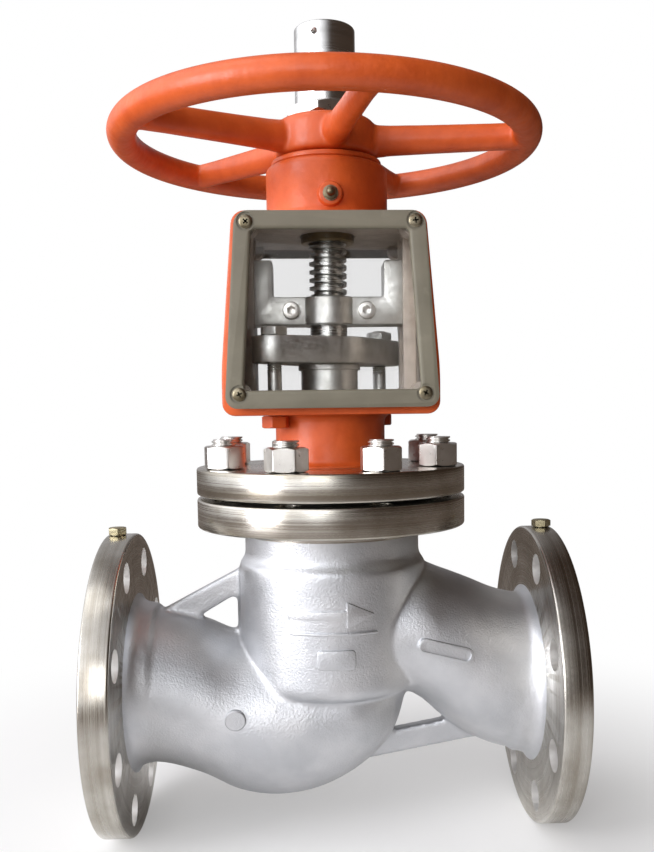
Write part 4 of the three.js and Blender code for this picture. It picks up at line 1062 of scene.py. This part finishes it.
def makeGland():
    g = gland
    low, high = span("gland_flange", "z")
    plate = slab("gland_plate", glandOutline(), low, high, 0, 1.6, True)
    placed(plate, (0, 0, 0), (0, 0, g["angle"]))
    cutBy(plate, rod("drill", g["bore"], (low - 4, low), (high, high + 4), 64, 1.0))
    for side, x, y in glandBoltPlaces():
        cutBy(plate, placed(rod("drill", 6, (low - 3, low), (high, high + 3), 40, 0.6), (x, y, 0)))
    finishPiece(plate, "dull", "grey_steel", "valve_body", "gland_flange")
    low, high = span("gland_follower", "z")
    follower = turnedPiece("gland_bush", [
        (14.4, low), (21, low), (21.6, low + 0.6), (21.6, high - 4.2), (23, high - 4.2),
        (23.6, high - 3.6), (23.6, high - 0.6), (23, high), (14.4, high)], 72, True)
    finishPiece(follower, "dull", "grey_steel", "valve_body", "gland_follower")
    headLow, top = span("gland_bolt_left", "z")
    headTop = yoke["boxLow"] - 0.3
    nutLow, nutHigh = span("gland_nut_left", "z")
    head = hexPiece("head", g["boltFlats"], headTop - headLow, 0, True)
    placed(head, (0, 0, headLow), (0, 0, g["headCorner"] - 30))
    painted(head, "enamel")
    thread = threadedRod("thread", g["boltRadius"], 4.7, 1.75, 236, top, 32, 1, True)
    shank = rod("shank", 5.2, headTop - 1, 237, 40)
    combine(shank, "UNION", thread)
    combineMaterials(head, "UNION", painted(shank, "dull"))
    nut = hexPiece("nut", g["boltFlats"], nutHigh - nutLow, 5.7, True)
    finishedCopies(head, None, "orange_enamel", "valve_body", [
        (f"gland_screw_{side}", f"gland_bolt_{side}", (x, y, 0), (0, 0, 0))
        for side, x, y in glandBoltPlaces()])
    finishedCopies(nut, "dull", "grey_steel", "valve_body", [
        (f"gland_screw_nut_{side}", f"gland_nut_{side}", (x, y, nutLow), (0, 0, g["angle"] + 30))
        for side, x, y in glandBoltPlaces()])


guide = {
    "halfWidth": 57, "earWidth": 15.5, "earTop": 319.5, "halfThickness": 13, "ring": 22,
    "bore": 14.3, "boltAt": 28, "boltRadius": 4, "headRadius": 6.5, "headHeight": 4.5,
    "nutFlats": 13,
}


def makeGuide():
    g = guide
    low, high = span("guide_plate_front", "z")[0], 292.5
    mid = (low + high) / 2
    w, inner = g["halfWidth"], g["halfWidth"] - g["earWidth"]
    outline = [(-w, low), (w, low), (w, g["earTop"]), (inner, g["earTop"]), (inner, high),
               (-inner, high), (-inner, g["earTop"]), (-w, g["earTop"])]
    for face, side in (("front", -1), ("rear", 1)):
        near, far = sorted((side * 0.4, side * g["halfThickness"]))
        plate = slab(f"stem_guide_{face}", outline, near, far, 2.2, 0.9)
        ring = turnedPiece("ring", [(g["ring"] - 0.8, low), (g["ring"], low + 0.8),
                                    (g["ring"], high - 0.8), (g["ring"] - 0.8, high)], 64)
        half = slab("half", oblong(-40, 40, low - 1, high + 1), *sorted((side * 0.4, side * 40)))
        combine(ring, "INTERSECT", half)
        for end in (-1, 1):
            cutBy(ring, placed(rod("drill", g["headRadius"] + 0.8, -40, 40, 40),
                               (end * g["boltAt"], 0, mid), (90, 0, 0)))
        combine(plate, "UNION", ring)
        cutBy(plate, rod("drill", g["bore"], (low - 4, low), (high, high + 40), 64, 0.8))
        for end in (-1, 1):
            cutBy(plate, placed(rod("drill", 4.4, -40, 40, 32), (end * g["boltAt"], 0, mid),
                                (90, 0, 0)))
        finishPiece(plate, "dull", "grey_steel", "stem", f"guide_plate_{face}")
    faceY = g["halfThickness"] + 0.3
    r, top = g["headRadius"], faceY + g["headHeight"]
    head = turnedPiece("head", [(4, faceY - 1), (4, faceY), (r - 0.3, faceY), (r, faceY + 0.4),
                                *arc(r - 0.9, top - 0.9, 0.9, 0, 90, 3)], 40)
    cutBy(head, placed(hexPiece("socket", 6, 5), (0, 0, faceY + 2)))
    combine(head, "UNION", rod("shank", g["boltRadius"], -faceY - 7.5, faceY, 32))
    placed(head, (0, 0, 0), (90, 0, 0))
    nut = placed(hexPiece("nut", g["nutFlats"], 6, 4.3, True), (0, faceY, 0), (-90, 0, 0))
    ends = (("left", -g["boltAt"]), ("right", g["boltAt"]))
    for master, kind in ((head, "bolt"), (nut, "nut")):
        name = "guide_screw_nut" if kind == "nut" else "guide_screw"
        finishedCopies(master, "fastener", "grey_steel", "stem", [
            (f"{name}_{end}", f"guide_{kind}_{end}", (x, 0, mid), (0, 0, 0)) for end, x in ends])


thrustBearing = {"gap": 0.3, "race": 3.6, "balls": 5.8}   # heights of one bearing's layers


def makeStemNut():
    # its collar stands on the lower bearing
    low, high = span("stem_nut", "z")
    sleeve = turnedPiece("threaded_sleeve", [
        (14.8, low), (19, low), (20, low + 1), (20, high - 0.8), (19.2, high),
        (14.8, high)], 72, True)
    b = thrustBearing
    floor = yoke["bearingFloor"] + 2 * b["gap"] + 2 * b["race"] + b["balls"]
    collar = turnedPiece("collar", [
        (19, floor), (28.6, floor), (29, floor + 0.4), (29, floor + 4.6), (28.6, floor + 5),
        (19, floor + 5)], 72, True)
    combine(sleeve, "UNION", collar)
    keyLow, keyHigh = span("handwheel_key", "z")
    cutBy(sleeve, keyway(keyLow - wheel["keyGap"], keyHigh + wheel["keyGap"]))
    finishPiece(sleeve, "bronze", "bronze", "handwheel", "stem_nut")


makeStem()
makeDisc()
makeGland()
makeGuide()
makeStemNut()
print("stem group made")

# windows of the yoke: clear panes under enamelled frames, each held by four screws

window = {
    "outline": [(-74.6, 210), (75.8, 210), (65.6, 344.7), (-65, 344.7)],
    "opening": [(-61.2, 222.6), (62.6, 222.6), (54.6, 332.5), (-53.8, 332.5)],
    "pane": [(-71, 212.5), (71, 212.5), (62.5, 342.5), (-62.5, 342.5)],
    "corner": 9, "openingCorner": 3, "edge": 0.7, "lip": 2.3,
    "screws": ((-64.4, 219.9), (65.6, 219.7), (59.2, 337.8), (-57.4, 337.2)),
    "headRadius": 4.7, "headHeight": 1.6, "crossHalf": 0.5, "crossReach": 2.1,
    "spotRadius": 6.4, "spotDepth": 0.8,
}


def screwHead():
    # pan head with a cross recess, standing on z = 0
    w = window
    r, h = w["headRadius"], w["headHeight"]
    head = turnedPiece("screw", [(2, -6), (2, 0), (r - 0.2, 0), (r, 0.4), (r, h * 0.45),
                                 (r * 0.86, h * 0.8), (r * 0.6, h * 0.96), (r * 0.25, h)], 40)
    a, b = w["crossHalf"], w["crossReach"]
    cross = slab("cross", [(-a, -b), (a, -b), (a, -a), (b, -a), (b, a), (a, a), (a, b), (-a, b),
                           (-a, a), (-b, a), (-b, -a), (-a, -a)], h - 1.6, h + 2, 0, 0, True)
    return cutBy(head, cross)


def makeWindows():
    w = window
    master = screwHead()
    for face, side in (("front", -1), ("rear", 1)):
        near, far = span(f"{face}_window_frame", "y")
        frameRing = slab(f"{face}_frame", w["outline"], near, far, w["corner"])
        cutBy(frameRing, slab("opening", w["opening"], near - 5, far + 5, w["openingCorner"]))
        outer = -near if side < 0 else far
        halfWide, top = w["opening"][1][0] + 3, w["opening"][2][1] + 3
        low = w["opening"][0][1] - 3
        bevelWhere(frameRing, w["lip"], 3, lambda spot: abs(spot.y * side - outer * mm) < 1e-5
                   and abs(spot.x) < halfWide * mm and low * mm < spot.z < top * mm)
        softened(frameRing, w["edge"], 2, 50)
        for x, z in w["screws"]:
            spot = rod("spot", w["spotRadius"], outer - w["spotDepth"], outer + 4, 40)
            cutBy(frameRing, placed(spot, (x, 0, z), (side * -90, 0, 0)))
        finishPiece(frameRing, "frame", "olive_paint", "valve_body", f"{face}_window_frame")
        paneNear, paneFar = span(f"{face}_window_pane", "y")
        pane = slab(f"{face}_pane", w["pane"], paneNear, paneFar, 7, 0.3)
        finishPiece(pane, "pane", "clear_pane", "valve_body", f"{face}_window_pane")
        for i, (x, z) in enumerate(w["screws"]):
            seat = side * (outer - w["spotDepth"])
            one = copyOf(master, f"{face}_frame_screw_{i + 1}")
            placed(one, (0, 0, 0), (0, 0, 25 + 37 * i))
            placed(one, (x, seat, z), (side * -90, 0, 0))
            finishPiece(one, "screw", "grey_steel", "valve_body")
    bpy.data.objects.remove(master)


makeWindows()
print("windows made")

# pale floor and light

studio = {
    "floor": "#f4f3f1", "cloud": "#f0efed", "floorSize": 80.0, "below": 0.0004,   # metres
    "clearFrom": 0.14, "clearTo": 0.6, "lift": 0.3,   # where the floor turns to even white
    "room": "#75685c", "roomFrom": 0.3, "roomTo": 0.9,   # what reflections see further out
}


def addFloor():
    # a matt floor that turns to even white away from the valve, as a lit sweep of paper does
    deselectAll()
    bpy.ops.mesh.primitive_plane_add(size=studio["floorSize"],
                                     location=(0, 0, cadLow.z - studio["below"]))
    floor = bpy.context.object
    floor.name = "studio_floor"
    material, tree, shader, place = startMaterial("Matt_white_floor", Roughness=0.9)
    tint = mapped(tree, noiseAt(tree, place, 400, 2), 0.3, 0.7, 0, 1)
    paths = addNode(tree, "ShaderNodeLightPath").outputs
    lit = blended(tree, tint, studio["cloud"], studio["floor"])
    reach = addNode(tree, "ShaderNodeVectorMath", {0: place}, operation="LENGTH").outputs["Value"]
    out = mapped(tree, reach, studio["roomFrom"], studio["roomTo"], 0, 1)
    bounce = blended(tree, out, studio["floor"], studio["room"])
    shown = addNode(tree, "ShaderNodeMix", {0: paths["Is Camera Ray"], 6: bounce, 7: lit},
                    data_type="RGBA")
    tree.links.new(shown.outputs[2], shader.inputs["Base Color"])
    far = addNode(tree, "ShaderNodeMapRange", {
        "Value": reach, "From Min": studio["clearFrom"], "From Max": studio["clearTo"],
        "To Min": studio["lift"]}, interpolation_type="SMOOTHSTEP").outputs[0]
    seen = addNode(tree, "ShaderNodeMath", {0: far, 1: paths["Is Camera Ray"]},
                   operation="MULTIPLY")
    white = addNode(tree, "ShaderNodeEmission", {"Color": (1, 1, 1, 1), "Strength": 1.0})
    both = addNode(tree, "ShaderNodeMixShader", {0: seen.outputs[0], 1: shader.outputs[0],
                                                 2: white.outputs[0]})
    tree.links.new(both.outputs[0], tree.nodes["Material Output"].inputs["Surface"])
    floor.data.materials.append(material)


lights = {
    "key": {"place": (-1.95, -1.25, 0.62), "target": (0, 0, 0.15), "size": (1.0, 1.5),
            "power": 45, "colour": "#f8f8fd"},
    "front": {"place": (-0.5, -2.4, 0.7), "target": (0, 0, 0.1), "size": (0.8, 0.9), "power": 8},
    "top": {"place": (-0.8, -0.5, 2.2), "target": (0, 0, 0.2), "size": (1.0, 0.8), "power": 3},
}


def addLight(name, place, target, size, power, colour="#ffffff"):
    bpy.ops.object.light_add(type="AREA", location=place)
    light = bpy.context.object
    light.name = name
    light.data.shape = "RECTANGLE"
    light.data.size, light.data.size_y = size
    light.data.energy = power
    light.data.color = linear(colour)[:3]
    light.rotation_euler = (Vector(target) - Vector(place)).to_track_quat("-Z", "Y").to_euler()


room = {
    "air": "#8f7767", "airStrength": 0.2,           # what faces away from the windows
    "windowWay": (-0.88, -0.42, 0.22), "windowFrom": 0.15, "windowTo": 0.85,
    "windowStrength": 1.75,
    "backWay": (-0.72, 0.66, 0.2), "backStrength": 0.5, "window": "#f3f5fb",
}


def addWorld():
    # the camera sees plain white; reflections see a dim warm room with broad windows on its left
    world = bpy.data.worlds.new("studio")
    bpy.context.scene.world = world
    world.use_nodes = True
    tree = world.node_tree
    tree.nodes.clear()
    way = addNode(tree, "ShaderNodeTexCoord").outputs["Generated"]
    glow = None
    for toward, strength in ((room["windowWay"], room["windowStrength"]),
                             (room["backWay"], room["backStrength"])):
        near = addNode(tree, "ShaderNodeVectorMath", {0: way, 1: toward},
                       operation="DOT_PRODUCT").outputs["Value"]
        window = addNode(tree, "ShaderNodeMapRange", {
            "Value": near, "From Min": room["windowFrom"], "From Max": room["windowTo"],
            "To Min": 0, "To Max": strength}, interpolation_type="SMOOTHSTEP").outputs[0]
        glow = window if glow is None else addNode(
            tree, "ShaderNodeMath", {0: glow, 1: window}, operation="ADD").outputs[0]
    air = addNode(tree, "ShaderNodeBackground", {
        "Color": linear(room["air"]), "Strength": room["airStrength"]})
    light = addNode(tree, "ShaderNodeBackground", {
        "Color": linear(room["window"]), "Strength": glow})
    around = addNode(tree, "ShaderNodeAddShader", {0: air.outputs[0], 1: light.outputs[0]})
    white = addNode(tree, "ShaderNodeBackground", {"Color": (1, 1, 1, 1), "Strength": 1.0})
    seen = addNode(tree, "ShaderNodeLightPath").outputs["Is Camera Ray"]
    both = addNode(tree, "ShaderNodeMixShader", {0: seen, 1: around.outputs[0],
                                                 2: white.outputs[0]})
    addNode(tree, "ShaderNodeOutputWorld", {"Surface": both.outputs[0]})


addFloor()
addWorld()
for name, settings in lights.items():
    addLight(name, **settings)
bpy.context.scene.view_settings.view_transform = "Standard"

lookBySlot = {
    "cast_steel": "castSteel", "turned_steel": "fastener", "orange_enamel": "enamel",
    "grey_steel": "dull", "stem_steel": "stem", "olive_paint": "frame", "clear_pane": "pane",
    "bearing_steel": "bearing", "bronze": "bronze", "packing_fibre": "packing",
    "gasket_graphite": "gasket",
}
for part in frame["record"]["subparts"]:
    mesh = frame["nodes"][part["node"]].data
    mesh.materials.clear()
    mesh.materials.append(finishes[lookBySlot[part["material_slot"]]])
